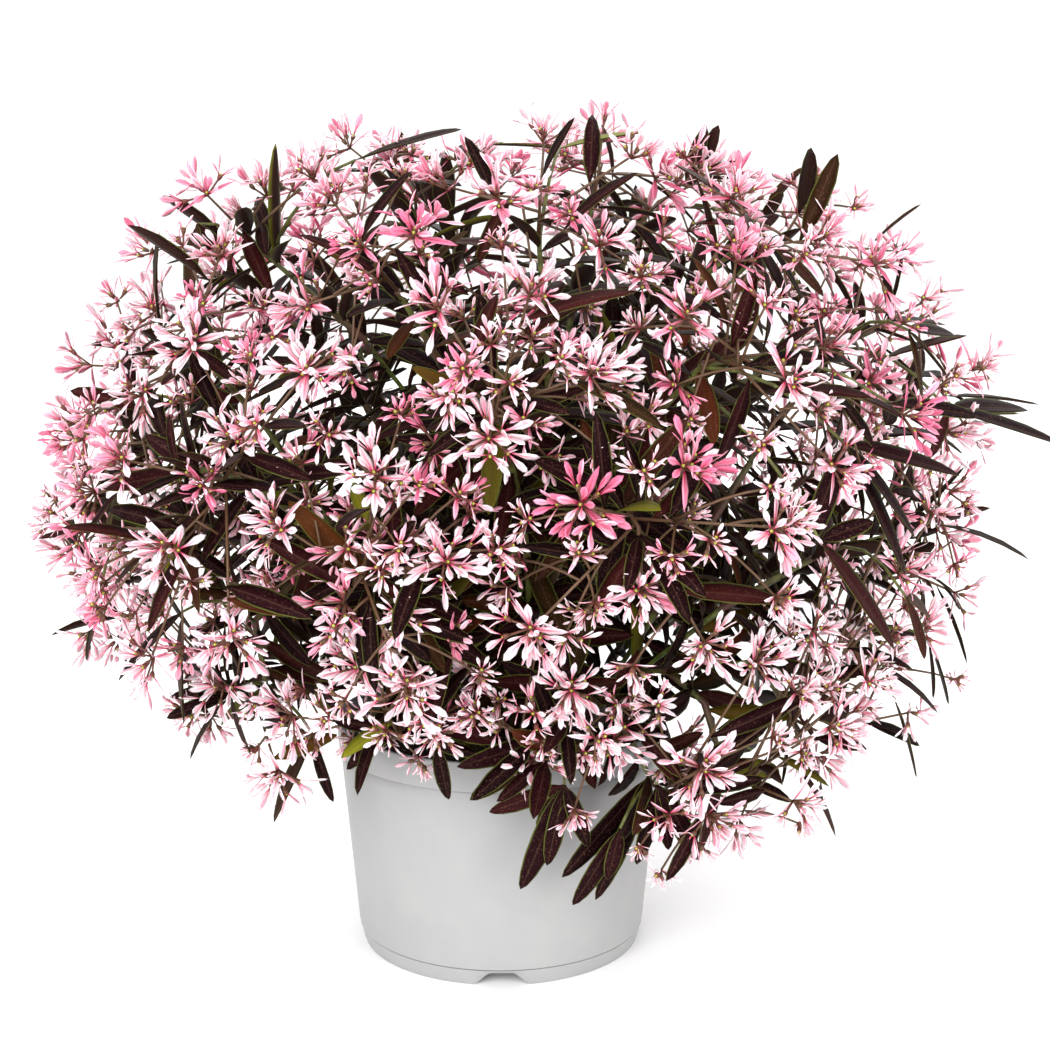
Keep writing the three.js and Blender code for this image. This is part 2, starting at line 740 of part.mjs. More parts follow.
function drainSolid(turn) {
  const height = 3 * (FLOOR_TOP - FLOOR_UNDERSIDE);
  const drain = new THREE.CylinderGeometry(DRAIN_RADIUS, DRAIN_RADIUS, height, HOLE_SIDES);
  drain.rotateX(Math.PI / 2);
  drain.translate(DRAIN_CIRCLE * Math.cos(turn), DRAIN_CIRCLE * Math.sin(turn), FLOOR_TOP);
  return solidFromGeometry(drain);
}

function soilSolid(twigs) {
  const slope = (RIM_RADIUS - WALL_FOOT_RADIUS) / (POT_HEIGHT - FLOOR_TOP);
  const bottom = FLOOR_TOP + SEAT_GAP;
  const radiusAt = (z) => WALL_FOOT_RADIUS - WALL_THICKNESS + slope * (z - FLOOR_TOP) - SEAT_GAP;
  const profile = [
    [0, bottom],
    [radiusAt(bottom), bottom],
    [radiusAt(SOIL_TOP), SOIL_TOP],
    [0, SOIL_TOP],
  ];
  let soil = turned(profile, POT_SEGMENTS);
  for (const twig of twigs.filter((t) => !t.leader)) {
    const foot = grow(twig.from, 0);
    const height = 2 * STEM_DEPTH;
    const hole = new THREE.CylinderGeometry(HOLE_RADIUS, HOLE_RADIUS, height, HOLE_SIDES);
    hole.rotateX(Math.PI / 2);
    hole.translate(foot.x, foot.y, SOIL_TOP - STEM_DEPTH - SEAT_GAP + height / 2);
    soil = soil.subtract(solidFromGeometry(hole));
  }
  return soil;
}

function twigPath(twig) {
  const path = [];
  const radii = [];
  if (!twig.leader) {
    const foot = grow(twig.from, 0);
    path.push(new THREE.Vector3(foot.x, foot.y, SOIL_TOP - STEM_DEPTH), foot);
    radii.push(STEM_RADIUS, STEM_RADIUS);
  }
  for (const rise of cornersOf(twig).slice(twig.leader ? 0 : 1)) {
    path.push(pointOn(twig, rise));
    radii.push(rise > twig.fork ? radiusOn(twig, rise) : TWIG_ROOT_RADIUS);
  }
  return { path, radii };
}

// A spray's stalk starts face to face with the end of its twig and runs on to the bloom nearest its
// middle. The pedicels of the others leave the stalk one after another.
function layOutPedicels(twig, own) {
  const along = directionOn(twig, STEM_END - 2 * RISE_STEP);
  const root = pointOn(twig, STEM_END).addScaledVector(along, SEAT_GAP);
  const middle = new THREE.Vector3();
  for (const bloom of own) middle.addScaledVector(bloom.centre, 1 / own.length);
  const toward = middle.sub(root).normalize().addScaledVector(along, STALK_TURN).normalize();
  const fork = root.clone().addScaledVector(toward, STALK_LENGTH);
  own.sort((a, b) => a.centre.distanceTo(fork) - b.centre.distanceTo(fork));
  return own.map((bloom, i) => {
    if (i === 0) {
      const radii = [PEDICEL_RADIUS, STALK_RADIUS, STALK_RADIUS];
      return { bloom, path: [fork, root], radii, seat: along };
    }
    const start = root.clone().lerp(fork, FIRST_PEDICEL + (PEDICEL_SPREAD * i) / own.length);
    return { bloom, path: [start], radii: [PEDICEL_RADIUS, PEDICEL_ROOT_RADIUS], seat: null };
  });
}

const twigs = layOutTwigs();
const blooms = layOutBlooms(twigs);
for (const twig of twigs) {
  const { path, radii } = twigPath(twig);
  for (let i = 0; i + 1 < path.length; i++)
    takeRoom(ballsAlong(path[i], path[i + 1], radii[i], twig.stem));
}
const sprays = twigs.map((twig, index) => {
  const owner = STEM_COUNT + index;
  const own = blooms.filter((bloom) => bloom.spray === index);
  const pedicels = layOutPedicels(twig, own);
  for (const { bloom, path } of pedicels) {
    for (let attempt = 0; attempt < BLOOM_TRIES; attempt++) {
      if (isFree(bloomBalls(bloom, owner), bloom.centre, 0)) break;
      bloom.spin += BLOOM_TURN;
      bloom.reach *= BLOOM_SHRINK;
    }
    const places = [bloom.centre, ...path];
    for (let i = 0; i + 1 < places.length; i++)
      takeRoom(ballsAlong(places[i], places[i + 1], STALK_RADIUS, owner));
    takeRoom(bloomBalls(bloom, owner));
  }
  return pedicels;
});
const leaves = [...layOutOutlyingLeaves(twigs), ...layOutLeaves(twigs)];

function bloomBalls(bloom, owner) {
  const { first, second } = bloomFrame(bloom);
  const balls = [];
  for (let petal = 0; petal < PETAL_COUNT; petal++) {
    const turn = bloom.spin + (petal * 2 * Math.PI) / PETAL_COUNT;
    const reach = bloom.reach * PETAL_SHOULDER;
    const tip = bloom.centre
      .clone()
      .addScaledVector(first, reach * Math.cos(turn))
      .addScaledVector(second, reach * Math.sin(turn))
      .addScaledVector(bloom.axis, reach * CUP_SLOPE);
    balls.push(...ballsAlong(bloom.centre, tip, PETAL_BALL_RADIUS, owner));
  }
  return balls;
}

function material(colour, roughness) {
  return new THREE.MeshStandardMaterial({ color: colour, roughness, metalness: 0 });
}

const potPlastic = material(0xcfcfcf, 0.55);
const pottingSoil = material(0x2d211a, 0.95);
const leafAndStem = material(0x33232a, 0.5);
const petals = material(0xefb6cb, 0.7);

const plant = new THREE.Group();

function addNode(name, solid, finish) {
  const made = solid.getMesh();
  const geometry = new THREE.BufferGeometry();
  geometry.setAttribute("position", new THREE.BufferAttribute(made.vertProperties, made.numProp));
  geometry.setIndex(new THREE.BufferAttribute(made.triVerts, 1));
  geometry.computeVertexNormals();
  const mesh = new THREE.Mesh(geometry, finish);
  mesh.name = name;
  plant.add(mesh);
}

function numbered(name, index) {
  return name + "_" + String(index + 1).padStart(2, "0");
}

addNode("pot", potSolid(), potPlastic);
addNode("soil", soilSolid(twigs), pottingSoil);
for (let stem = 0; stem < STEM_COUNT; stem++) {
  const own = twigs.filter((twig) => twig.stem === stem);
  const stalks = own.map((twig) => {
    const { path, radii } = twigPath(twig);
    return tube(path, radii, STEM_SIDES);
  });
  const blades = leaves.filter((leaf) => leaf.owner === stem).map(leafSolid);
  addNode(numbered("leafy_stem", stem), fuse([...stalks, ...blades]), leafAndStem);
}
sprays.forEach((pedicels, index) => {
  addNode(numbered("flower_spray", index), fuse(pedicels.map(bloomSolid)), petals);
});

// The origin goes to the middle of the footprint.
const box = new THREE.Box3().setFromObject(plant);
const middle = box.getCenter(new THREE.Vector3());
plant.position.set(-middle.x, -middle.y, 0);

export default plant;
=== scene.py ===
"""A euphorbia in flower in a round nursery pot, dressed in metres around its CAD solids."""
import math

import bpy
import numpy as np
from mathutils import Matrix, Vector, noise


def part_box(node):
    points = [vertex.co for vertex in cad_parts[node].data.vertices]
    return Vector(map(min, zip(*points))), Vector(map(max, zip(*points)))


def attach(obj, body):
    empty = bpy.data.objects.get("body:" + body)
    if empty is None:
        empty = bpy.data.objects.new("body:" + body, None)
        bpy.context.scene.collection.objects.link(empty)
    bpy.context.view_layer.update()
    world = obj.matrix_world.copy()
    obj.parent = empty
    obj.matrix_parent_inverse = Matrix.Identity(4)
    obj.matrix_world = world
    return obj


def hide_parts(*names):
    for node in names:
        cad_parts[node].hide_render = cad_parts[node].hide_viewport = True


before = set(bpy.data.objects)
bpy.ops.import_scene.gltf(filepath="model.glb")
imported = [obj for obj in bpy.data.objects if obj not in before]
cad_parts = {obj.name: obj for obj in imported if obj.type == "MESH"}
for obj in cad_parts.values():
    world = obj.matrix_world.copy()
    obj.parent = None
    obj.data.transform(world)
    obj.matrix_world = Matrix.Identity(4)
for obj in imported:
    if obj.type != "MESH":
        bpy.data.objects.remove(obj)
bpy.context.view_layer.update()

# The nursery pot
# One piece of polypropylene, injection moulded in light grey. A tapered wall stands under a slightly
# wider rim band, on a foot ring with three notches that let the water out.
MM = 0.001
RIM_RADIUS = 75
BAND_RADIUS = 74.1
BAND_FOOT = 92
BAND_STEP = 0.7
WALL_FOOT_RADIUS = 65.7
WALL_THICKNESS = 1.8
POT_HEIGHT = 105
FOOT_RADIUS = 63.4
FOOT_HEIGHT = 7.6
FOOT_STEP = 0.5
LINE_DEPTH = 1.3
FOOT_RING_WIDTH = 3
FLOOR_UNDERSIDE = 6.2
FLOOR_TOP = 8.4
NOTCH_COUNT = 3
NOTCH_HEIGHT = 5.6
NOTCH_HALF_BELOW = 12.5
NOTCH_HALF_ABOVE = 5
NOTCH_STRAIGHT = 0.55
NOTCH_ROUNDED = 0.45
DRAIN_RADIUS = 4
DRAIN_CIRCLE = 48
DRAIN_COUNT = 6
DRAIN_TURNS = 32
POT_TURNS = 288
SHARP_ANGLE = math.radians(50)

pot_corners = np.array(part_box("pot"))
pot_middle = np.append(pot_corners.mean(axis=0)[:2], 0.0)


def placed(points):
    """Millimetres from the pot's axis, turned to the model's metres."""
    return np.asarray(points, dtype=float) * MM + pot_middle


def within(value, low=0.0, high=1.0):
    """A value kept between two limits."""
    return min(high, max(low, value))


def notch_rise(turn):
    """How high the foot's lower edge is lifted at a turn round the pot, in the rounded notches."""
    step = math.tau / NOTCH_COUNT
    aside = (turn + math.pi / 2 + step / 2) % step - step / 2
    share = within((NOTCH_HALF_BELOW - abs(aside) * FOOT_RADIUS) / (NOTCH_HALF_BELOW - NOTCH_HALF_ABOVE))
    eased = share * share * (3 - 2 * share)
    return NOTCH_HEIGHT * (NOTCH_STRAIGHT * share + NOTCH_ROUNDED * eased)


def wall_radius(height):
    """The inside of the wall at a height."""
    slope = (RIM_RADIUS - WALL_FOOT_RADIUS) / (POT_HEIGHT - FLOOR_TOP)
    return WALL_FOOT_RADIUS - WALL_THICKNESS + slope * (height - FLOOR_TOP)


ring_inner = FOOT_RADIUS - FOOT_RING_WIDTH
ring_outer = WALL_FOOT_RADIUS - FOOT_STEP
groove_radius = WALL_FOOT_RADIUS - LINE_DEPTH
lip_radius = RIM_RADIUS - WALL_THICKNESS
band_taper = (RIM_RADIUS - BAND_RADIUS) / (POT_HEIGHT - BAND_FOOT)
wall_taper = (BAND_RADIUS - BAND_STEP - WALL_FOOT_RADIUS) / (BAND_FOOT - BAND_STEP - FOOT_HEIGHT - FOOT_STEP)
pot_profile = [
    (0, FLOOR_UNDERSIDE), (20, FLOOR_UNDERSIDE), (40, FLOOR_UNDERSIDE), (56, FLOOR_UNDERSIDE),
    (ring_inner - 0.5, FLOOR_UNDERSIDE), (ring_inner, FLOOR_UNDERSIDE - 0.5), (ring_inner, 3),
    (ring_inner, 0.5), (ring_inner + 0.15, 0.15), (ring_inner + 0.5, 0), (FOOT_RADIUS - 0.6, 0),
    (FOOT_RADIUS - 0.2, 0.15), (FOOT_RADIUS + 0.05, 0.6), (FOOT_RADIUS + 0.8, 3),
    (ring_outer - 0.05, FOOT_HEIGHT - 0.5), (ring_outer, FOOT_HEIGHT - 0.2), (groove_radius, FOOT_HEIGHT),
    (groove_radius, FOOT_HEIGHT + 0.3), (WALL_FOOT_RADIUS - 0.05, FOOT_HEIGHT + 0.45),
    (WALL_FOOT_RADIUS, FOOT_HEIGHT + 0.8),
]
for height in (12, 20, 34, 48, 62, 76, 86):
    pot_profile.append((WALL_FOOT_RADIUS + wall_taper * (height - FOOT_HEIGHT - FOOT_STEP), height))
pot_profile += [
    (BAND_RADIUS - BAND_STEP, BAND_FOOT - 1.4), (BAND_RADIUS - LINE_DEPTH, BAND_FOOT - 0.7),
    (BAND_RADIUS - 0.12, BAND_FOOT - 0.2), (BAND_RADIUS, BAND_FOOT + 0.35),
    (BAND_RADIUS + band_taper * 6, BAND_FOOT + 6), (RIM_RADIUS, POT_HEIGHT - 0.7),
    (RIM_RADIUS - 0.2, POT_HEIGHT - 0.2), (RIM_RADIUS - 0.7, POT_HEIGHT),
    (lip_radius + 0.6, POT_HEIGHT), (lip_radius, POT_HEIGHT - 0.6),
]
for height in (100, 92, 80, 60, 40, 20):
    pot_profile.append((wall_radius(height), height))
pot_profile += [
    (wall_radius(FLOOR_TOP + 1), FLOOR_TOP + 1), (wall_radius(FLOOR_TOP) - 1, FLOOR_TOP),
    (40, FLOOR_TOP), (20, FLOOR_TOP), (0, FLOOR_TOP),
]


def turned_skin(profile, turns, lift=None):
    """Points and faces of a profile turned round the axis, closed where it starts and ends on it."""
    points = [(0, 0, profile[0][1]), (0, 0, profile[-1][1])]
    body = profile[1:-1]
    for step in range(turns):
        turn = math.tau * step / turns
        for radius, height in body:
            if lift:
                height = lift(turn, radius, height)
            points.append((radius * math.cos(turn), radius * math.sin(turn), height))
    faces = []
    rows = len(body)
    for step in range(turns):
        here = 2 + step * rows
        beside = 2 + (step + 1) % turns * rows
        faces.append((0, beside, here))
        faces.append((1, here + rows - 1, beside + rows - 1))
        for row in range(rows - 1):
            faces.append((here + row, beside + row, beside + row + 1, here + row + 1))
    return points, faces


def foot_lift(turn, radius, height):
    """The foot ring's points rise over a notch, the lower ones more."""
    top = FOOT_HEIGHT - 0.4 if radius > ring_inner + 1 else FLOOR_UNDERSIDE - 0.5
    if radius < ring_inner - 0.1 or height >= top:
        return height
    return height + notch_rise(turn) * (1 - height / top)


def add_part(points, faces, part, part_faces):
    """Adds a part's points and faces to a piece's own."""
    first = len(points)
    points += part.tolist()
    faces += [tuple(first + k for k in face) for face in part_faces]


def add_object(name, data):
    """A new object in the scene."""
    made = bpy.data.objects.new(name, data)
    bpy.context.collection.objects.link(made)
    return made


def new_object(name, points, faces, finishes, smooth=True):
    """A mesh object in the model's metres, with its materials."""
    mesh = bpy.data.meshes.new(name)
    mesh.from_pydata(placed(points).tolist(), [], faces)
    for finish in finishes:
        mesh.materials.append(finish)
    mesh.polygons.foreach_set("use_smooth", [smooth] * len(mesh.polygons))
    mesh.update()
    return add_object(name, mesh)


def paint(code):
    """An sRGB hex colour as opaque linear light."""
    parts = [int(code[i : i + 2], 16) / 255 for i in (1, 3, 5)]
    return tuple(v / 12.92 if v <= 0.04045 else ((v + 0.055) / 1.055) ** 2.4 for v in parts) + (1.0,)


def set_inputs(tree, node, inputs):
    """Sets a node's inputs to numbers and colours, or links them to other nodes."""
    for name, value in inputs.items():
        if isinstance(value, bpy.types.NodeSocket):
            tree.links.new(value, node.inputs[name])
        else:
            node.inputs[name].default_value = value


def add_node(tree, kind, output, inputs, **settings):
    """What one new shader node puts out, with its settings and inputs."""
    made = tree.nodes.new(kind)
    for name, value in settings.items():
        setattr(made, name, value)
    set_inputs(tree, made, inputs)
    return made.outputs[output]


def start_material(name):
    """A material with nothing in it but its surface shader."""
    material = bpy.data.materials.new(name)
    material.use_nodes = True
    tree = material.node_tree
    tree.nodes.clear()
    surface = tree.nodes.new("ShaderNodeBsdfPrincipled")
    output = tree.nodes.new("ShaderNodeOutputMaterial")
    tree.links.new(surface.outputs["BSDF"], output.inputs["Surface"])
    return material, tree, surface


def object_place(tree):
    """The place on the object, in metres, that a texture is laid by."""
    return add_node(tree, "ShaderNodeTexCoord", "Object", {})


def cloudy(tree, spot, scale, detail, roughness=0.5):
    """A value that wanders between 0 and 1 from place to place."""
    inputs = {"Vector": spot, "Scale": scale, "Detail": detail, "Roughness": roughness}
    return add_node(tree, "ShaderNodeTexNoise", "Fac", inputs)


def spread(tree, value, low, high, start, end):
    """Takes a value from one range to another."""
    inputs = {"Value": value, "From Min": low, "From Max": high, "To Min": start, "To Max": end}
    return add_node(tree, "ShaderNodeMapRange", "Result", inputs)


def colours_over(tree, value, *stops):
    """A colour for each value, from stops of value and hex colour."""
    ramp = tree.nodes.new("ShaderNodeValToRGB")
    set_inputs(tree, ramp, {"Fac": value})
    elements = ramp.color_ramp.elements
    elements.remove(elements[-1])
    elements[0].position = stops[0][0]
    elements[0].color = paint(stops[0][1])
    for place, code in stops[1:]:
        elements.new(place).color = paint(code)
    return ramp.outputs["Color"]


def relief(tree, height, strength, distance):
    """Small bumps in the surface, too fine for the mesh."""
    inputs = {"Height": height, "Strength": strength, "Distance": distance}
    return add_node(tree, "ShaderNodeBump", "Normal", inputs)


# Moulded polypropylene, as it leaves a spark-eroded mould: satin, with a fine grain of about 0.4 mm
# that breaks up the shine, and a slight cloudiness in its grey.
pot_plastic, tree, surface = start_material("moulded_polypropylene")
spot = object_place(tree)
cloud = cloudy(tree, spot, 38, 4, 0.6)
grey = colours_over(tree, cloud, (0.3, "#999999"), (0.52, "#9b9b9b"), (0.72, "#9e9e9d"))
grain = cloudy(tree, spot, 2400, 2)
set_inputs(tree, surface, {"Base Color": grey, "Roughness": spread(tree, grain, 0, 1, 0.42, 0.6),
                           "Normal": relief(tree, grain, 0.12, 0.0002), "IOR": 1.49})

points, faces = turned_skin(pot_profile, POT_TURNS, foot_lift)
pot = new_object("nursery_pot", points, faces, [pot_plastic])
drain_foot, drain_top = FLOOR_UNDERSIDE - 2, FLOOR_TOP + 2
drain_profile = [(0, drain_foot), (DRAIN_RADIUS, drain_foot), (DRAIN_RADIUS, drain_top), (0, drain_top)]
drain_skin, drain_skin_faces = turned_skin(drain_profile, DRAIN_TURNS)
drain_points, drain_faces = [], []
for i in range(DRAIN_COUNT):
    turn = i * math.tau / DRAIN_COUNT
    middle = np.array([DRAIN_CIRCLE * math.cos(turn), DRAIN_CIRCLE * math.sin(turn), 0])
    add_part(drain_points, drain_faces, np.array(drain_skin) + middle, drain_skin_faces)
drains = new_object("drain_tools", drain_points, drain_faces, [pot_plastic])
cut = pot.modifiers.new("drains", "BOOLEAN")
cut.object = drains
cut.operation = "DIFFERENCE"
cut.solver = "EXACT"
bpy.context.view_layer.update()
drilled = bpy.data.meshes.new_from_object(pot.evaluated_get(bpy.context.evaluated_depsgraph_get()))
pot.modifiers.clear()
pot.data = drilled
bpy.data.objects.remove(drains)
drilled.set_sharp_from_angle(angle=SHARP_ANGLE)
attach(pot, "root")
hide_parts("pot")

# The potting soil
# A peat mix pressed round the root ball and filled to below the rim, with crumbs of peat, bark and
# a little grit on its rough surface.
SOIL_TOP = 88
SOIL_GAP = 0.3
SOIL_RINGS = 34
SOIL_TURNS = 120
CLOD_SIZE = 8
CLOD_HEIGHT = 1.5
ROUGH_SIZE = 2.2
ROUGH_HEIGHT = 0.9
SOIL_SAG = 0.6
CRUMB_COUNT = 420
CRUMB_SEED = 7
CRUMB_EDGE = 3
LEAST_CRUMB = 0.7
CRUMB_SPREAD = 1.6
CRUMB_STRETCH = (0.6, 1.4)
CRUMB_WOBBLE = (0.8, 1.2)
CRUMB_LIFT = 0.3
LUMP_SHRINK = 1.9

soil_bottom = FLOOR_TOP + SOIL_GAP
soil_profile = [(0, soil_bottom), (wall_radius(soil_bottom) - SOIL_GAP, soil_bottom)]
soil_profile += [(wall_radius(h) - SOIL_GAP, h) for h in (30, 60, 84)]
soil_edge = wall_radius(SOIL_TOP) - SOIL_GAP
soil_profile += [(soil_edge * math.sqrt(1 - i / SOIL_RINGS), SOIL_TOP) for i in range(SOIL_RINGS)]
soil_profile.append((0, SOIL_TOP))


def soil_lump(x, y):
    """The roughness of the surface: clods, and smaller lumps over them."""
    clods = noise.noise(Vector((x, y, 3.0)) / CLOD_SIZE)
    lumps = noise.noise(Vector((x, y, 9.0)) / ROUGH_SIZE)
    return CLOD_HEIGHT * clods + ROUGH_HEIGHT * lumps - SOIL_SAG


def soil_lift(turn, radius, height):
    """Roughens the top of the soil, but not its edge at the wall."""
    if height < SOIL_TOP or radius > soil_edge - 0.01:
        return height
    return height + soil_lump(radius * math.cos(turn), radius * math.sin(turn))


points, faces = turned_skin(soil_profile, SOIL_TURNS, soil_lift)
crumb_draw = np.random.default_rng(CRUMB_SEED)
golden = (1 + math.sqrt(5)) / 2
signs = [(a, b) for b in (1, -1) for a in (1, -1)]
lump_corners = [(0, a, b * golden) for a, b in signs] + [(a, b * golden, 0) for a, b in signs]
lump_corners = np.array(lump_corners + [(a * golden, 0, b) for a, b in signs]) / LUMP_SHRINK
lump_faces = [(0, 1, 8), (0, 8, 4), (0, 4, 5), (0, 5, 9), (0, 9, 1), (1, 6, 8), (8, 6, 10), (8, 10, 4),
              (4, 10, 2), (4, 2, 5), (5, 2, 11), (5, 11, 9), (9, 11, 7), (9, 7, 1), (1, 7, 6),
              (3, 10, 6), (3, 2, 10), (3, 11, 2), (3, 7, 11), (3, 6, 7)]
for _ in range(CRUMB_COUNT):
    radius = (soil_edge - CRUMB_EDGE) * math.sqrt(crumb_draw.random())
    turn = math.tau * crumb_draw.random()
    x, y = radius * math.cos(turn), radius * math.sin(turn)
    size = LEAST_CRUMB + CRUMB_SPREAD * crumb_draw.random() ** 2
    stretch = crumb_draw.uniform(*CRUMB_STRETCH, 3)
    wobble = crumb_draw.uniform(*CRUMB_WOBBLE, (12, 1))
    middle = np.array([x, y, SOIL_TOP + soil_lump(x, y) + CRUMB_LIFT * size])
    add_part(points, faces, lump_corners * stretch * wobble * size + middle, lump_faces)

# Moist peat with bark and grit: dark and matt, in browns that change from crumb to crumb.
peat, tree, surface = start_material("moist_peat_mix")
spot = object_place(tree)
crumbs = add_node(tree, "ShaderNodeTexVoronoi", "Color", {"Vector": spot, "Scale": 480})
brown = colours_over(tree, crumbs, (0, "#1c130d"), (0.45, "#2d1f16"), (0.8, "#45301f"), (0.97, "#8c7a60"))
fibre = cloudy(tree, spot, 900, 5, 0.7)
bumps = relief(tree, fibre, 0.9, 0.0008)
set_inputs(tree, surface, {"Base Color": brown, "Roughness": 0.92, "Normal": bumps})

soil = new_object("potting_soil_surface", points, faces, [peat], smooth=False)
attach(soil, "root")
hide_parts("soil")

# The leafy stems
# Twelve stems rise from the soil, and each forks into twigs that end on the shell of the mound. Growth
# follows the rule and the draws of the part's source, so that each leaf lies where its solid does.
SEED = 8
MOUND_CENTRE = np.array([13.0, 0.0, 213.0])
MOUND_RADIUS_X = 209
MOUND_RADIUS_Y = 186
MOUND_RISE = 156
MOUND_DROP = 145
LOWEST_ANGLE = math.radians(137)
STEM_CIRCLE = 38
STEM_FOOT_LIFT = 2
FURTHEST_SPOT = 1.05
ARCH_REACH = 0.33
ARCH_RISE = 0.6
ARCH_LIFT = 75
STEM_COUNT = 12
SPRAY_COUNT = 44
STEM_RADIUS = 2.3
TWIG_RADIUS = 1.4
TWIG_ROOT_RADIUS = 1.1
FORKS = (0.2, 0.33, 0.46)
STEM_END = 0.88
PATH_STEP = 0.18
SPOT_JITTER = 0.2
SPOT_EASE = 1.7
PULL_POWER = 1.3
RISE_STEP = 0.01
STEM_DEPTH = 18
GOLDEN_ANGLE = math.pi * (3 - math.sqrt(5))
UP = np.array([0.0, 0.0, 1.0])
# The middles of the sprays that stand out of the mound or hang over the rim.
OUTLYING_SPRAYS = [
    (-192, -10, 192), (-186, 20, 236), (-160, -15, 277), (-180, 10, 158), (-126, 0, 336), (137, 0, 335),
    (168, -20, 296), (214, 0, 262), (206, -15, 196), (204, 10, 160), (186, -10, 130), (137, -15, 84),
    (104, -62, 72), (72, -88, 78), (26, -96, 104), (-38, -92, 112), (-98, -40, 100),
]


def draws_from(seed):
    """Draws between 0 and 1, the same ones on every run."""
    state = seed

    def draw():
        nonlocal state
        state = state * 48271 % 2147483647
        return state / 2147483647

    return draw


def length_of(vector):
    return math.sqrt(float(vector @ vector))


def unit(vector):
    return vector / length_of(vector)


def lerp(start, end, share):
    """What lies a share of the way from a start to an end."""
    return start + (end - start) * share


def spread_spots(count, jitter, draw):
    """Spots spread evenly over a unit disc, as seeds are on a sunflower's head."""
    spots = []
    for i in range(count):
        radius = math.sqrt((i + 0.5) / count)
        turn = i * GOLDEN_ANGLE
        wander = jitter / math.sqrt(count)
        x = radius * math.cos(turn) + wander * (2 * draw() - 1)
        y = radius * math.sin(turn) + wander * (2 * draw() - 1)
        spots.append(np.array([x, y]))
    return spots


def grow(spot, rise):
    """The place of a spot's path: rise 0 is in the soil, and rise 1 on the mound's shell."""
    radius = min(length_of(spot), FURTHEST_SPOT)
    across = unit(spot)
    angle = math.acos(max(-1.0, 1 - radius * radius * (1 - math.cos(LOWEST_ANGLE))))
    level = math.cos(angle)
    height = (MOUND_RISE if level > 0 else MOUND_DROP) * level
    out = math.sin(angle)
    shell = np.array([MOUND_RADIUS_X * out * across[0], MOUND_RADIUS_Y * out * across[1], height])
    shell = MOUND_CENTRE + shell
    foot = np.array([STEM_CIRCLE * spot[0], STEM_CIRCLE * spot[1], SOIL_TOP + STEM_FOOT_LIFT])
    arch = lerp(foot, shell, ARCH_REACH)
    arch[2] = foot[2] + ARCH_RISE * (shell[2] - foot[2]) + ARCH_LIFT * (angle / LOWEST_ANGLE) ** 2
    fall = 1 - rise
    return foot * fall * fall + arch * 2 * fall * rise + shell * rise * rise


def spot_under(place):
    """The spot whose path ends nearest to a place."""
    x = (place[0] - MOUND_CENTRE[0]) / MOUND_RADIUS_X
    y = (place[1] - MOUND_CENTRE[1]) / MOUND_RADIUS_Y
    height = place[2] - MOUND_CENTRE[2]
    level = height / (MOUND_RISE if height > 0 else MOUND_DROP)
    angle = min(math.atan2(math.hypot(x, y), level), LOWEST_ANGLE)
    radius = math.sqrt((1 - math.cos(angle)) / (1 - math.cos(LOWEST_ANGLE)))
    return unit(np.array([x, y])) * radius


def nearest_index(spot, spots):
    gaps = [length_of(spot - other) for other in spots]
    return gaps.index(min(gaps))


def share_of(twig, rise):
    """How far along a twig a rise is, from its fork to its end."""
    return within((rise - twig["fork"]) / (1 - twig["fork"]))


def spot_on(twig, rise):
    """The spot that a twig has wandered to from its leader's."""
    return lerp(twig["from"], twig["spot"], 1 - (1 - share_of(twig, rise)) ** SPOT_EASE)


def point_on(twig, rise, spot=None):
    """A place on a twig's path, or beside it for another spot."""
    share = share_of(twig, rise)
    point = grow(spot_on(twig, rise) if spot is None else spot, rise) + twig["pull"] * share**PULL_POWER
    leader = twig["leader"]
    if leader:
        carried = (twig["fork"] - leader["fork"]) / (1 - leader["fork"])
        point = point + leader["pull"] * (carried**PULL_POWER * (1 - share))
    return point


def direction_on(twig, rise):
    return unit(point_on(twig, rise + RISE_STEP) - point_on(twig, rise - RISE_STEP))


def corners_of(twig):
    """The rises at which a twig bends. Others fork from a leader at its bends."""
    corners = [twig["fork"]] if twig["leader"] else [0, *FORKS]
    last = corners[-1]
    steps = round((STEM_END - last) / PATH_STEP)
    return corners + [lerp(last, STEM_END, i / steps) for i in range(1, steps + 1)]


def tube_point(twig, rise):
    """A place on a twig's middle line, which is straight between its bends."""
    corners = twig["corners"]
    upper = max(1, next((i for i, corner in enumerate(corners) if corner >= rise - 1e-9), len(corners) - 1))
    share = (rise - corners[upper - 1]) / (corners[upper] - corners[upper - 1])
    return lerp(twig["places"][upper - 1], twig["places"][upper], share)


draw = draws_from(SEED)
stem_spots = spread_spots(STEM_COUNT, SPOT_JITTER, draw)
twig_spots = spread_spots(SPRAY_COUNT, SPOT_JITTER, draw)
twigs = [{"spot": spot, "pull": np.zeros(3), "placed": False} for spot in twig_spots]
for place in OUTLYING_SPRAYS:
    target = np.array(place, dtype=float)
    spot = spot_under(target)
    free = [twig for twig in twigs if not twig["placed"]]
    twig = free[nearest_index(spot, [t["spot"] for t in free])]
    twig.update(spot=spot, pull=target - grow(spot, 1), placed=True)
for twig in twigs:
    twig["stem"] = nearest_index(twig["spot"], stem_spots)
for stem, stem_spot in enumerate(stem_spots):
    own = sorted((t for t in twigs if t["stem"] == stem), key=lambda t: length_of(t["spot"] - stem_spot))
    for order, twig in enumerate(own):
        twig["leader"] = own[0] if order else None
        twig["fork"] = FORKS[(order - 1) % len(FORKS)] if order else 0
        twig["from"] = spot_on(own[0], twig["fork"]) if order else stem_spot
for twig in twigs:
    twig["corners"] = corners_of(twig)
    twig["places"] = [point_on(twig, rise) for rise in twig["corners"]]

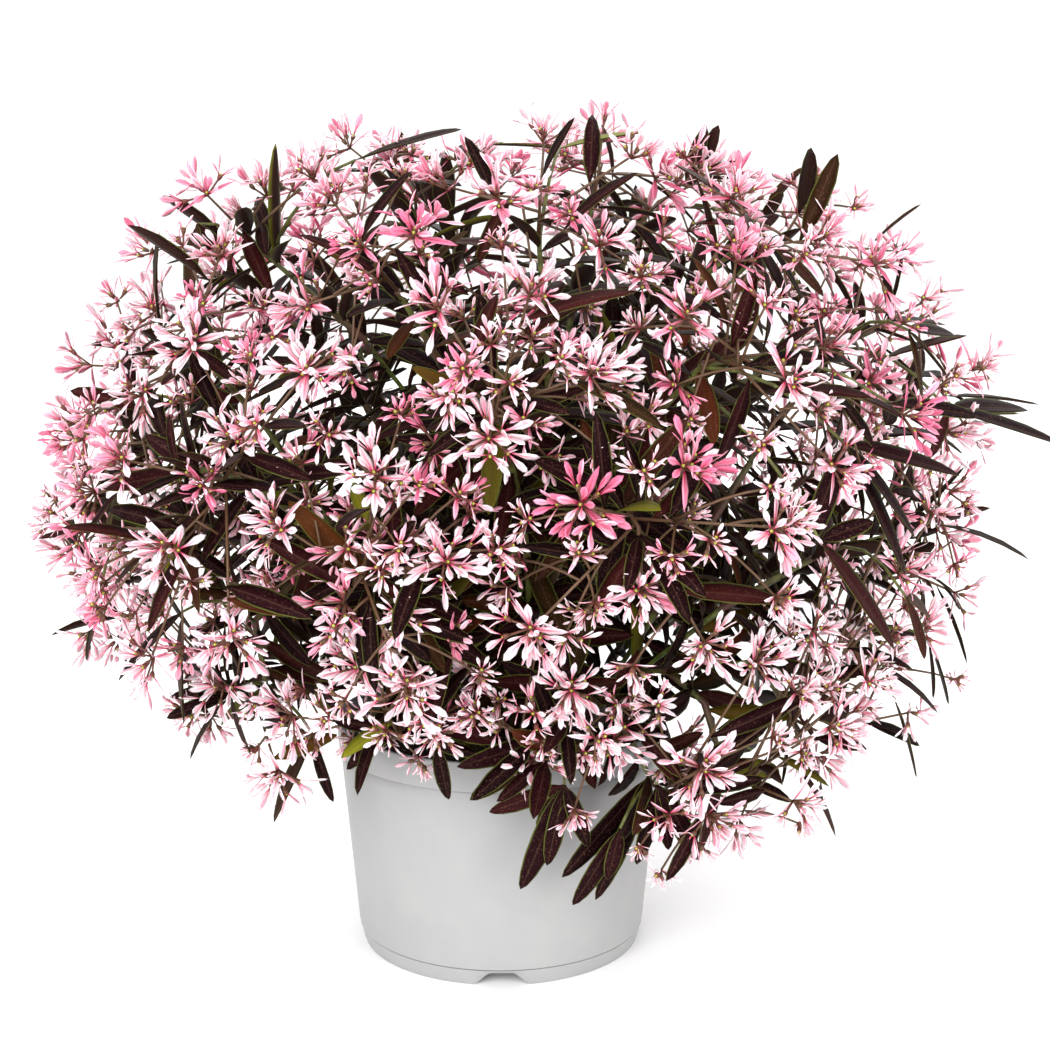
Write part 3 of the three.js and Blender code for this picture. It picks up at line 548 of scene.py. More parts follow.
# The flower sprays
# A spray at the end of each twig: a stalk with pedicels, and on each pedicel a cluster of small
# cyathia. Their places and the room that they take up are worked out first, and their petals and
# cups are made further down.
BLOOM_COUNT = 184
BLOOM_REACH = 18
LEAST_BLOOM_REACH = 9
BLOOM_JITTER = 0.14
BLOOM_TRIES = 6
BLOOM_TURN = 0.4
BLOOM_SHRINK = 0.93
BLOOM_GAP = 0.5
BLOOM_POT_MARGIN = 19
BLOOM_LAYER = 1
BLOOM_LAYER_SPREAD = 0.06
BLOOM_SIDE = (0.6, 0.8, 0.1)
STALK_LENGTH = 14
STALK_RADIUS = 1.3
STALK_TURN = 0.7
FIRST_PEDICEL = 0.2
PEDICEL_SPREAD = 0.75
STAR_PETALS = 5
STAR_SHOULDER = 0.86
STAR_BALL_RADIUS = 2.3
STAR_SLOPE = 0.42
SEAT_GAP = 0.3
GRID = 12
BALL_SPACING = 1.6
CLEARANCE = 0.4
POT_CLEARANCE = 3
FLOOR_CLEARANCE = 12
MOUTH_MARGIN = 6
SOIL_CLEARANCE = 5
TUBE_SIDE = (0.31, 0.95, 0.0)

room = {}


def grid_key(x, y, z):
    return (math.floor(x / GRID), math.floor(y / GRID), math.floor(z / GRID))


def take_room(balls):
    """Marks balls as taken, each of a place, a radius and an owner."""
    for ball in balls:
        room.setdefault(grid_key(*ball[:3]), []).append(ball)


def lowest_at(radius, in_pot):
    """How low a part may hang at a distance from the axis. Small leaves may also dip into the pot's mouth."""
    if in_pot and radius < RIM_RADIUS - MOUTH_MARGIN:
        return SOIL_TOP + SOIL_CLEARANCE
    return POT_HEIGHT + POT_CLEARANCE if radius < RIM_RADIUS + POT_CLEARANCE else FLOOR_CLEARANCE


def is_free(balls, root, spared, clearance=CLEARANCE, in_pot=False):
    """Whether balls of room keep clear of all that is taken, but for their own near the root."""
    for x, y, z, radius, owner in balls:
        if z < lowest_at(math.hypot(x, y), in_pot):
            return False
        kx, ky, kz = grid_key(x, y, z)
        for key in [(kx + i, ky + j, kz + k) for i in (-1, 0, 1) for j in (-1, 0, 1) for k in (-1, 0, 1)]:
            for ox, oy, oz, taken, holder in room.get(key, ()):
                if holder == owner and math.dist((ox, oy, oz), root) < spared:
                    continue
                if math.dist((ox, oy, oz), (x, y, z)) < taken + radius + clearance:
                    return False
    return True


def balls_along(start, end, radius, owner):
    """Balls in a row, close enough to stand for a tube."""
    count = max(1, math.ceil(length_of(end - start) / (BALL_SPACING * radius)))
    return [(*lerp(start, end, i / count), radius, owner) for i in range(count + 1)]


def keep_off_pot(place, margin):
    """Near the pot a place is moved outwards."""
    radius = math.hypot(place[0], place[1])
    least = RIM_RADIUS + margin
    if place[2] > POT_HEIGHT + margin or radius > least:
        return place
    return np.array([place[0] * least / radius, place[1] * least / radius, place[2]])


def bloom_frame(axis):
    """Two directions square to an axis and to each other."""
    first = unit(np.cross(BLOOM_SIDE, axis))
    return first, np.cross(axis, first)


def around(first, second, turn):
    """A direction in the plane of two others, turned from the first to the second."""
    return first * math.cos(turn) + second * math.sin(turn)


def bloom_balls(bloom, owner):
    """The room that the five petals of a solid's star take up."""
    first, second = bloom_frame(bloom["axis"])
    balls = []
    for petal in range(STAR_PETALS):
        turn = bloom["spin"] + petal * math.tau / STAR_PETALS
        reach = bloom["reach"] * STAR_SHOULDER
        tip = bloom["centre"] + first * (reach * math.cos(turn)) + second * (reach * math.sin(turn))
        tip = tip + bloom["axis"] * (reach * STAR_SLOPE)
        balls += balls_along(bloom["centre"], tip, STAR_BALL_RADIUS, owner)
    return balls


def stem_radius(rise):
    return lerp(STEM_RADIUS, TWIG_RADIUS, min(1.0, rise / STEM_END))


draw = draws_from(SEED + 1)
laid = []
for spot in spread_spots(BLOOM_COUNT, BLOOM_JITTER, draw):
    spray = nearest_index(spot, [twig["spot"] for twig in twigs])
    twig = twigs[spray]
    rise = BLOOM_LAYER + BLOOM_LAYER_SPREAD * (2 * draw() - 1)
    centre = keep_off_pot(point_on(twig, rise, spot), BLOOM_POT_MARGIN)
    axis = unit(unit(centre - point_on(twig, STEM_END)) + unit(centre - MOUND_CENTRE))
    laid.append({"spray": spray, "centre": centre, "axis": axis, "spin": draw() * math.tau})


def nearest_gap(bloom, others):
    """How far the nearest of the other blooms is."""
    gaps = [length_of(bloom["centre"] - other["centre"]) for other in others if other is not bloom]
    return min(gaps, default=math.inf)


blooms = []
for bloom in laid:
    if nearest_gap(bloom, blooms) / 2 - BLOOM_GAP > LEAST_BLOOM_REACH:
        blooms.append(bloom)
for bloom in blooms:
    bloom["reach"] = min(BLOOM_REACH, nearest_gap(bloom, blooms) / 2 - BLOOM_GAP)

for twig in twigs:
    places = twig["places"]
    radii = [stem_radius(rise) if rise > twig["fork"] else TWIG_ROOT_RADIUS for rise in twig["corners"]]
    if not twig["leader"]:
        foot = grow(twig["from"], 0)
        places = [np.array([foot[0], foot[1], SOIL_TOP - STEM_DEPTH]), foot] + places[1:]
        radii = [STEM_RADIUS, STEM_RADIUS] + radii[1:]
    twig["path"], twig["radii"] = places, radii
    for i in range(len(places) - 1):
        take_room(balls_along(places[i], places[i + 1], radii[i], twig["stem"]))


def lay_out_pedicels(twig, own):
    """The stalk goes on from the twig's end to the middle bloom, and the others branch off it."""
    along = direction_on(twig, STEM_END - 2 * RISE_STEP)
    root = point_on(twig, STEM_END) + along * SEAT_GAP
    middle = sum(bloom["centre"] for bloom in own) / len(own)
    fork = root + unit(unit(middle - root) + along * STALK_TURN) * STALK_LENGTH
    own = sorted(own, key=lambda bloom: length_of(bloom["centre"] - fork))
    paths = [[own[0]["centre"], fork, root]]
    for i in range(1, len(own)):
        paths.append([own[i]["centre"], lerp(root, fork, FIRST_PEDICEL + PEDICEL_SPREAD * i / len(own))])
    return list(zip(own, paths))


sprays = []
for index, twig in enumerate(twigs):
    owner = STEM_COUNT + index
    pedicels = lay_out_pedicels(twig, [bloom for bloom in blooms if bloom["spray"] == index])
    for bloom, path in pedicels:
        for _ in range(BLOOM_TRIES):
            if is_free(bloom_balls(bloom, owner), bloom["centre"], 0):
                break
            bloom["spin"] += BLOOM_TURN
            bloom["reach"] *= BLOOM_SHRINK
        for i in range(len(path) - 1):
            take_room(balls_along(path[i], path[i + 1], STALK_RADIUS, owner))
        take_room(bloom_balls(bloom, owner))
    sprays.append(pedicels)


class Skin:
    """The points, faces and marks of one piece, gathered part by part."""

    def __init__(self):
        self.points, self.faces, self.finish = [], [], []
        self.marks = {"along": [], "across": [], "tint": [], "under": []}
        self.count = 0

    def add(self, points, faces, finish, **marks):
        self.points.append(points)
        self.faces += [tuple(k + self.count for k in face) for face in faces]
        self.finish += [finish] * len(faces)
        for name, values in self.marks.items():
            values.append(np.broadcast_to(np.asarray(marks.get(name, 0), dtype=float), len(points)))
        self.count += len(points)

    def add_blade(self, points, form, tint):
        """A leaf or petal, in the piece's first material."""
        self.add(points, form["faces"], 0, along=form["share"], tint=tint, across=form["column"],
                 under=form["side"] < 0)

    def add_tube(self, path, radii, sides, tint):
        """A stem, cup or pedicel, in the piece's second material."""
        points, faces = tube_skin(path, radii, sides)
        self.add(points, faces, 1, tint=tint)

    def make(self, name, finishes):
        made = new_object(name, np.concatenate(self.points), self.faces, finishes)
        made.data.polygons.foreach_set("material_index", self.finish)
        for mark, values in self.marks.items():
            kept = made.data.attributes.new(mark, "FLOAT", "POINT")
            kept.data.foreach_set("value", np.concatenate(values))
        return made


def blade_form(rows, columns):
    """The grid of a thin blade, closed round its edge: rows of share and width, columns across."""
    marks, faces = [], []
    top, bottom = {}, {}
    for i, (share, width) in enumerate(rows):
        for j, column in enumerate(columns):
            edge = i in (0, len(rows) - 1) or j in (0, len(columns) - 1)
            top[i, j] = len(marks)
            marks.append((share, width, column, 0 if edge else 1))
            bottom[i, j] = top[i, j]
            if not edge:
                bottom[i, j] = len(marks)
                marks.append((share, width, column, -1))
    for i in range(len(rows) - 1):
        for j in range(len(columns) - 1):
            faces.append((top[i, j], top[i, j + 1], top[i + 1, j + 1], top[i + 1, j]))
            faces.append((bottom[i, j], bottom[i + 1, j], bottom[i + 1, j + 1], bottom[i, j + 1]))
    share, width, column, side = np.array(marks).T
    return {"share": share, "width": width, "column": column, "side": side, "faces": faces}


def blade_points(form, root, heading, face, length, half, droop, fold, thick, twist):
    """A blade that leaves its root along a heading, arches back from its face and folds along its rib."""
    face = unit(face - heading * float(face @ heading))
    share = form["share"][:, None]
    side = np.cross(heading, face)
    tangent = heading - face * (2 * droop * share)
    tangent /= np.linalg.norm(tangent, axis=1)[:, None]
    normal = np.cross(side, tangent)
    turn = twist * share
    across = side * np.cos(turn) + normal * np.sin(turn)
    normal = normal * np.cos(turn) - side * np.sin(turn)
    middle = root + heading * (length * share) - face * (length * droop * share**2)
    reach = form["column"] * form["width"] * half
    lift = fold * np.abs(reach) + form["side"] * thick / 2 * (1 - form["column"] ** 2)
    return middle + across * reach[:, None] + normal * lift[:, None]


def tube_skin(path, radii, sides):
    """Points and faces of a round tube along a path, closed at both ends."""
    path = np.array(path)
    normal = np.array(TUBE_SIDE)
    points, faces = [], []
    turns = np.arange(sides) * math.tau / sides
    for i, place in enumerate(path):
        along = unit(path[min(i + 1, len(path) - 1)] - path[max(i - 1, 0)])
        normal = unit(normal - along * float(normal @ along))
        across = np.cross(along, normal)
        points.append(place + radii[i] * (np.outer(np.cos(turns), normal) + np.outer(np.sin(turns), across)))
    points = np.concatenate(points + [path[:1], path[-1:]])
    rings = len(path)
    for i in range(rings - 1):
        for k in range(sides):
            beside = (k + 1) % sides
            faces.append((i * sides + k, i * sides + beside, (i + 1) * sides + beside, (i + 1) * sides + k))
    first, last = rings * sides, rings * sides + 1
    end = (rings - 1) * sides
    for k in range(sides):
        beside = (k + 1) % sides
        faces.append((first, beside, k))
        faces.append((last, end + k, end + beside))
    return points, faces


# The leaves
# Narrow lance-shaped leaves stand in whorls and pairs round the twigs. Each is a thin blade, folded
# along its rib, that arches back a little. These are the leaves that the solids have too.
LEAF_LENGTHS = (35, 49)
LEAF_HALF_WIDTHS = (4.3, 4.8)
LEAF_DRAWS = 100
LEAF_SPACING = 36
FIRST_WHORL = 0.86
LOWEST_LEAF = 0.44
LEAF_ABOVE_FORK = 0.08
FULL_WHORLS = 1
LEAF_TILT = math.radians(64)
LEAF_TILT_SPREAD = 0.7
LEAF_SWAY = 0.8
LEAST_DROOP = 0.05
DROOP_SPREAD = 0.2
LEAF_FACE_LIFT = 0.8
LEAF_TRIES = 14
TRY_SWING = 0.33
TRY_LEAN = 0.06
LEAF_STAGGER = 0.008
LEAF_BALL_RADIUS = 1.6
NECK_BALL_RADIUS = 0.9
LEAF_BALL_STEP = 0.07
NECK_TO = 0.1
LEAF_WIDE_FROM = 0.25
LEAF_WIDE_TO = 0.9
ROOT_SPARED = 7
OUTLYING_SPARED = 32
OUTLYING_LEAF_MOST = 56
OUTLYING_TRIES = 16
OUTLYING_SWING = 5
AIM_DEPTH = 0.5
# The tips of the single leaves that reach out of the mound or hang before the pot.
OUTLYING_LEAVES = [
    (-105, -10, 366), (246, 0, 236), (240, -20, 220), (209, -30, 214), (-168, -20, 132), (-146, -30, 122),
    (-99, -45, 66), (-23, -95, 82), (37, -97, 48), (9, -98, 57), (22, -99, 60), (48, -97, 78), (2, -97, 82),
    (98, -78, 62), (84, -96, 56),
]


def make_leaf(root, heading, length, half, droop, owner):
    """A leaf from its root along its heading, with its face turned up and out of the mound."""
    outward = unit(root - MOUND_CENTRE) + UP * LEAF_FACE_LIFT
    face = unit(outward - heading * float(outward @ heading))
    return {"root": root, "heading": heading, "length": length, "half": half, "droop": droop,
            "face": face, "owner": owner}


def leaf_balls(leaf, ball_radius=LEAF_BALL_RADIUS):
    """The room that a leaf takes up, in rows of balls from near its root to its tip."""
    side = np.cross(leaf["heading"], leaf["face"])
    balls = []
    along = LEAF_BALL_STEP
    while along <= 1:
        radius = NECK_BALL_RADIUS if along < NECK_TO else ball_radius
        bent = leaf["heading"] - leaf["face"] * leaf["droop"] * along
        middle = leaf["root"] + leaf["length"] * along * bent
        half = leaf["half"] - ball_radius if LEAF_WIDE_FROM <= along <= LEAF_WIDE_TO else 0
        for across in (-half, 0, half) if half else (0,):
            balls.append((*(middle + side * across), radius, leaf["owner"]))
        along += LEAF_BALL_STEP
    return balls


def turned_about(vector, axis, angle):
    """A vector square to an axis, turned about it."""
    return vector * math.cos(angle) + np.cross(axis, vector) * math.sin(angle)


def aims_near(tip, tries, swing):
    """A tip, and then places further and further round it that a leaf may reach for instead."""
    for attempt in range(tries):
        turn = attempt * GOLDEN_ANGLE
        aside = np.array([math.cos(turn), AIM_DEPTH * math.sin(turn), math.sin(turn)])
        yield tip + aside * (swing * math.sqrt(attempt))


def keep_leaf(leaf, balls):
    leaves.append(leaf)
    take_room(balls)


leaves = []
for place in OUTLYING_LEAVES:
    tip = np.array(place, dtype=float)
    found = None
    for twig in twigs:
        rise = LOWEST_LEAF
        while rise <= FIRST_WHORL:
            root = tube_point(twig, rise)
            if found is None or length_of(root - tip) < found[0]:
                found = (length_of(root - tip), root, twig["stem"])
            rise += RISE_STEP
    reach, root, stem = found
    length = min(reach, OUTLYING_LEAF_MOST)
    for aim in aims_near(tip, OUTLYING_TRIES, OUTLYING_SWING):
        leaf = make_leaf(root, unit(aim - root), length, LEAF_HALF_WIDTHS[1], 0, stem)
        balls = leaf_balls(leaf)
        if is_free(balls, root, OUTLYING_SPARED):
            keep_leaf(leaf, balls)
            break


def try_leaf(owner, root, along, start, tilt, shape, ball_radius, clearance, in_pot=False):
    """Lays a leaf where there is room for it, turned or lifted a little if need be."""
    length, half, droop = shape
    first = unit(np.cross(along, UP))
    for attempt in range(LEAF_TRIES):
        swing = (-1 if attempt % 2 else 1) * math.ceil(attempt / 2) * TRY_SWING
        lean = tilt * (1 - TRY_LEAN * attempt)
        aside = turned_about(first, along, start + swing)
        heading = unit(along * math.cos(lean) + aside * math.sin(lean))
        leaf = make_leaf(root, heading, length, half, droop, owner)
        balls = leaf_balls(leaf, ball_radius)
        if is_free(balls, root, ROOT_SPARED, clearance, in_pot):
            keep_leaf(leaf, balls)
            return leaf
    return None


def whorls_down(twig, start, lowest, spacing, travelled):
    """The whorls of a twig from its end down: the number of each, its rise and the twig's direction."""
    whorl, rise, last = 0, start, point_on(twig, STEM_END)
    while rise > lowest:
        here = point_on(twig, rise)
        travelled += length_of(here - last)
        last = here
        if travelled >= spacing:
            travelled = 0
            whorl += 1
            yield whorl, rise, direction_on(twig, rise)
        rise -= RISE_STEP


for index, twig in enumerate(twigs):
    draw = draws_from(SEED + LEAF_DRAWS + index)
    lowest = max(LOWEST_LEAF, twig["fork"] + LEAF_ABOVE_FORK)
    for whorl, rise, along in whorls_down(twig, FIRST_WHORL, lowest, LEAF_SPACING, LEAF_SPACING):
        members = 2 if whorl > FULL_WHORLS else 3
        for member in range(members):
            root = tube_point(twig, rise - LEAF_STAGGER * member)
            size = draw()
            turn = whorl * (math.pi / 2) + member * math.tau / members
            start = turn + LEAF_SWAY * (draw() - 0.5)
            tilt = LEAF_TILT + LEAF_TILT_SPREAD * (draw() - 0.5)
            droop = LEAST_DROOP + DROOP_SPREAD * draw()
            shape = (lerp(*LEAF_LENGTHS, size), lerp(*LEAF_HALF_WIDTHS, size), droop)
            try_leaf(twig["stem"], root, along, start, tilt, shape, LEAF_BALL_RADIUS, CLEARANCE)

# The side shoots
# Thin shoots with a few leaves of their own, which the solids leave out. Some reach out at the mound's
# outline, and others hang over the rim before the pot.
SHOOT_LOWEST = 0.3
SHOOT_LIFT = 0.25
SHOOT_BENDS = 4
SHOOT_ROOT_RADIUS = 0.9
SHOOT_END_RADIUS = 0.6
SHOOT_LEAF_MOST = 60
SHOOT_LEAF_SLIM = 0.115
SHOOT_LEAF_HALF_WIDTHS = (3.8, 5.4)
SHOOT_LEAF_DROOP = 0.04
SHOOT_TRIES = 8
SHOOT_SWING = 4
# Where each shoot ends, and the tips of its leaves.
SIDE_SHOOTS = [
    ((26, -97, 103), [(8, -97, 57), (-5, -97, 91), (19, -98, 68), (36, -97, 76), (15, -96, 82)]),
    ((49, -97, 84), [(33, -98, 47), (44, -98, 62)]),
    ((-26, -97, 120), [(-22, -98, 97)]),
    ((64, -97, 103), [(57, -93, 66), (83, -92, 68), (70, -96, 74)]),
    ((80, -97, 111), [(87, -92, 80), (69, -94, 82)]),
    ((165, -77, 288), [(192, -47, 284), (182, -78, 270), (170, -88, 262)]),
    ((182, -78, 256), [(175, -82, 236), (228, -62, 245), (224, -40, 246)]),
    ((153, -106, 262), [(191, -94, 256), (148, -121, 262)]),
    ((132, -125, 249), [(182, -109, 235), (164, -117, 211), (164, -119, 190), (117, -132, 208)]),
    ((122, -135, 213), [(156, -125, 168), (143, -132, 220)]),
    ((162, -106, 184), [(182, -80, 167), (170, -112, 160)]),
    ((190, -25, 146), [(193, -30, 120), (205, -10, 112)]),
    ((176, -25, 118), [(180, -27, 88)]),
    ((105, -80, 326), [(122, -88, 300), (128, -95, 304)]),
    ((106, -72, 110), [(142, -62, 88), (112, -78, 84)]),
    ((-130, -12, 328), [(-152, -12, 300), (-129, -50, 298), (-114, -20, 308)]),
    ((-116, -122, 238), [(-122, -128, 268), (-137, -118, 252), (-156, -111, 231)]),
    ((-152, -95, 226), [(-162, -89, 198), (-168, -94, 212)]),
    ((-120, -120, 222), [(-154, -109, 198), (-134, -118, 188), (-119, -123, 182)]),
    ((-166, -74, 180), [(-178, -55, 146)]),
    ((-130, -85, 174), [(-160, -80, 144), (-132, -76, 120)]),
    ((-115, -60, 131), [(-143, -60, 122), (-108, -62, 105)]),
    ((-80, -65, 115), [(-99, -64, 76), (-72, -74, 88)]),
    ((-61, -23, 355), [(-14, -29, 360), (-76, -19, 334)]),
    ((25, -41, 360), [(60, -31, 368), (2, -31, 372)]),
]

# Every place on a twig that can carry a shoot, with the number of its stem.
carriers = []
for twig in twigs:
    rise = max(SHOOT_LOWEST, twig["fork"])
    while rise < STEM_END:
        carriers.append((tube_point(twig, rise), twig["stem"]))
        rise += RISE_STEP
carrier_places = np.array([place for place, _ in carriers])


def bowed_path(start, end, lift):
    """Places along a shoot that leaves its carrier rising and bows over to its end."""
    bow = (start + end) / 2 + UP * (lift * length_of(end - start))
    return [lerp(lerp(start, bow, i / SHOOT_BENDS), lerp(bow, end, i / SHOOT_BENDS), i / SHOOT_BENDS)
            for i in range(SHOOT_BENDS + 1)]


shoots = []
for place, tips in SIDE_SHOOTS:
    end = np.array(place, dtype=float)
    start, stem = carriers[int(np.argmin(np.linalg.norm(carrier_places - end, axis=1)))]
    path = bowed_path(start, end, SHOOT_LIFT)
    shoots.append((stem, path))
    for tip in tips:
        for aim in aims_near(np.array(tip, dtype=float), SHOOT_TRIES, SHOOT_SWING):
            reach = min(length_of(aim - end), SHOOT_LEAF_MOST)
            half = within(SHOOT_LEAF_SLIM * reach, *SHOOT_LEAF_HALF_WIDTHS)
            leaf = make_leaf(end, unit(aim - end), reach, half, SHOOT_LEAF_DROOP, stem)
            balls = leaf_balls(leaf, NECK_BALL_RADIUS)
            if is_free(balls, end, OUTLYING_SPARED, 0):
                keep_leaf(leaf, balls)
                break

large_leaves = len(leaves)

# The younger clusters
# Between the solids' clusters stand smaller ones on thin pedicels of their own, most of them on the
# front of the mound and a little deeper in it, and fewer at its top.
YOUNG_COUNT = 400
YOUNG_TRIES = 60
YOUNG_GAP = 14
YOUNG_HIGHEST = 364
YOUNG_LOWEST = 120
YOUNG_LOW_REACH = 125
YOUNG_ANYWHERE = 0.06
YOUNG_BACK_SHARE = 0.45
YOUNG_TOP = 300
YOUNG_TOP_SHARE = 0.5
YOUNG_REACH = 12
YOUNG_SIZES = (0.75, 1.15)
YOUNG_ASIDE = (14, 36)
YOUNG_DEPTH = (-2, 42)
YOUNG_FOOT = (0.35, 0.85)
YOUNG_CLEARANCE = 3
YOUNG_STALK_PLACE = 0.7
YOUNG_STALK_RADIUS = 0.6
YOUNG_TINT = 0.05
YOUNG_SMALL = 13
NOBODY = -1
OUTER_FEET = (0.3, 0.45, 0.6, 0.75, 0.9)
# The clusters that show at the outline and over the rim: the middle of each, and its reach.
OUTER_CLUSTERS = [
    (-204, 0, 194, 11), (-169, -73, 247, 9), (-151, -67, 287, 12), (-148, -104, 236, 12), (-63, -80, 116, 11),
    (-48, -88, 122, 11), (-34, -90, 111, 10), (-21, -100, 134, 11), (-83, -85, 140, 11), (-105, -60, 107, 10),
    (-1, -110, 143, 10), (24, -105, 131, 10), (57, -99, 76, 7), (66, -97, 64, 9), (83, -92, 74, 9),
    (130, -57, 71, 7), (129, -60, 100, 9), (148, -60, 112, 10), (209, 0, 120, 7), (216, 0, 264, 9),
    (186, -72, 269, 9), (163, -82, 292, 10), (147, -70, 314, 11),
]

young_draw = np.random.default_rng(SEED + 3)
young = {index: [] for index in range(len(sprays))}
cluster_places = [bloom["centre"] for bloom in blooms]
spray_feet = []
for index, pedicels in enumerate(sprays):
    for bloom, path in pedicels:
        spray_feet += [(index, lerp(path[0], path[1], share)) for share in OUTER_FEET]
foot_places = np.array([foot for _, foot in spray_feet])
for x, y, z, reach in OUTER_CLUSTERS:
    place = np.array([x, y, z], dtype=float)
    index, foot = spray_feet[int(np.argmin(np.linalg.norm(foot_places - place, axis=1)))]
    if min(length_of(place - other) for other in cluster_places) > reach:
        cluster_places.append(place)
        take_room([(*place, YOUNG_CLEARANCE, NOBODY)])
        young[index].append((place, foot, reach))
for _ in range(YOUNG_COUNT * YOUNG_TRIES):
    if sum(len(group) for group in young.values()) >= YOUNG_COUNT:
        break
    index = int(young_draw.integers(0, len(sprays)))
    bloom, path = sprays[index][int(young_draw.integers(0, len(sprays[index])))]
    first, second = bloom_frame(bloom["axis"])
    turn = young_draw.uniform(0, math.tau)
    place = bloom["centre"] + around(first, second, turn) * young_draw.uniform(*YOUNG_ASIDE)
    place = place - bloom["axis"] * young_draw.uniform(*YOUNG_DEPTH)
    facing = place[1] / MOUND_RADIUS_Y
    facing = facing * YOUNG_BACK_SHARE if facing > 0 else -facing
    if place[2] > YOUNG_TOP:
        facing *= YOUNG_TOP_SHARE
    if young_draw.random() > YOUNG_ANYWHERE + facing or place[2] > YOUNG_HIGHEST:
        continue
    if place[2] < YOUNG_LOWEST and math.hypot(place[0], place[1]) > YOUNG_LOW_REACH:
        continue
    if min(length_of(place - other) for other in cluster_places) < YOUNG_GAP:
        continue
    foot = lerp(path[0], path[1], young_draw.uniform(*YOUNG_FOOT))
    stalk_ball = (*lerp(foot, place, YOUNG_STALK_PLACE), YOUNG_STALK_RADIUS, STEM_COUNT + index)
    if not is_free([(*place, YOUNG_CLEARANCE, NOBODY), stalk_ball], place, 0, 0):
        continue
    cluster_places.append(place)
    take_room([(*place, YOUNG_CLEARANCE + 1, NOBODY)])
    young[index].append((place, foot, YOUNG_REACH * young_draw.uniform(*YOUNG_SIZES)))

# The small leaves
# Dark leaves also stand under the clusters, along their pedicels, and in threes down the twigs to the
# soil, where they hide it.
SPRAY_LEAF_TRIES = 3
SPRAY_LEAF_ANYWHERE = 0.25
SPRAY_LEAF_LENGTHS = (22, 44)
SPRAY_LEAF_HALF_WIDTHS = (2.9, 4.4)
SPRAY_LEAF_TILT = 0.75
SPRAY_LEAF_TILT_SPREAD = 0.7
SPRAY_LEAF_HIGHEST = 0.75
SPRAY_LEAF_DRAWS = 900
FILLER_SPACING = 14
FILLER_LOWEST = 0.04
FILLER_BALL_RADIUS = 1.2
FILLER_CLEARANCE = 0.1
FILLER_LENGTHS = (26, 46)
FILLER_HALF_WIDTHS = (3.3, 4.8)
FILLER_ABOVE_FORK = 0.03
FILLER_MEMBERS = 3
FILLER_TURN = 1.1
FILLER_TILT_SPREAD = 0.9
FILLER_TILT_UP = 0.4
FILLER_DROOP_SPREAD = 0.3
FILLER_DRAWS = 500

for index, pedicels in enumerate(sprays):
    draw = draws_from(SEED + SPRAY_LEAF_DRAWS + index)
    for _, path in pedicels:
        for member in range(SPRAY_LEAF_TRIES):
            if draw() > SPRAY_LEAF_ANYWHERE + abs(path[0][1]) / MOUND_RADIUS_Y:
                continue
            size = draw()
            start = member * math.tau / SPRAY_LEAF_TRIES + math.tau * draw()
            tilt = SPRAY_LEAF_TILT + SPRAY_LEAF_TILT_SPREAD * draw()
            root = lerp(path[1], path[0], SPRAY_LEAF_HIGHEST * draw())
            droop = LEAST_DROOP + DROOP_SPREAD * draw()
            shape = (lerp(*SPRAY_LEAF_LENGTHS, size), lerp(*SPRAY_LEAF_HALF_WIDTHS, size), droop)
            leaf = try_leaf(STEM_COUNT + index, root, unit(path[0] - path[1]), start, tilt, shape,
                            FILLER_BALL_RADIUS, FILLER_CLEARANCE)
            if leaf:
                leaf["owner"] = twigs[index]["stem"]
for index, twig in enumerate(twigs):
    draw = draws_from(SEED + FILLER_DRAWS + index)
    lowest = max(FILLER_LOWEST, twig["fork"] + FILLER_ABOVE_FORK)
    for whorl, rise, along in whorls_down(twig, STEM_END - RISE_STEP, lowest, FILLER_SPACING, 0):
        for member in range(FILLER_MEMBERS):
            size = draw()
            start = whorl * FILLER_TURN + member * math.tau / FILLER_MEMBERS + draw()
            tilt = LEAF_TILT + FILLER_TILT_SPREAD * (draw() - FILLER_TILT_UP)
            droop = LEAST_DROOP + FILLER_DROOP_SPREAD * draw()
            shape = (lerp(*FILLER_LENGTHS, size), lerp(*FILLER_HALF_WIDTHS, size), droop)
            try_leaf(twig["stem"], tube_point(twig, rise), along, start, tilt, shape,
                     FILLER_BALL_RADIUS, FILLER_CLEARANCE, in_pot=True)

# Leaf skin: near-black burgundy with a fine pale speckle, a browner rib and a thin olive line along its
# edge. Some leaves are olive or maroon, and the back is a plain grey-brown.
def mark(tree, name):
    """The value that a piece's mesh holds at each point under a name."""
    return add_node(tree, "ShaderNodeAttribute", "Fac", {}, attribute_name=name)


def blend(tree, share, first, second):
    """Goes from a first colour to a second by a share."""
    inputs = {"Factor": share, "A": first, "B": second}
    return add_node(tree, "ShaderNodeMix", "Result", inputs, data_type="RGBA")


def reckon(tree, operation, *values):
    """One sum done on values."""
    return add_node(tree, "ShaderNodeMath", "Value", dict(enumerate(values)), operation=operation)


leaf_skin, tree, surface = start_material("burgundy_leaf_blade")
body = colours_over(tree, mark(tree, "tint"), (0, "#140507"), (0.35, "#20080c"), (0.6, "#340f10"),
                    (0.76, "#291d0b"), (0.86, "#4e2010"), (0.93, "#4c470e"), (1, "#73751c"))
speckle = spread(tree, cloudy(tree, object_place(tree), 1500, 2), 0.6, 0.74, 0, 0.45)
speckled = blend(tree, speckle, body, paint("#84584f"))
aside = reckon(tree, "ABSOLUTE", mark(tree, "across"))
edged = blend(tree, spread(tree, aside, 0.82, 0.97, 0, 0.75), speckled, paint("#6f7638"))
ribbed = blend(tree, spread(tree, aside, 0, 0.12, 0.5, 0), edged, paint("#4c3429"))
backed = blend(tree, mark(tree, "under"), ribbed, paint("#33231e"))
set_inputs(tree, surface, {"Base Color": backed, "Roughness": 0.5, "Specular IOR Level": 0.04})

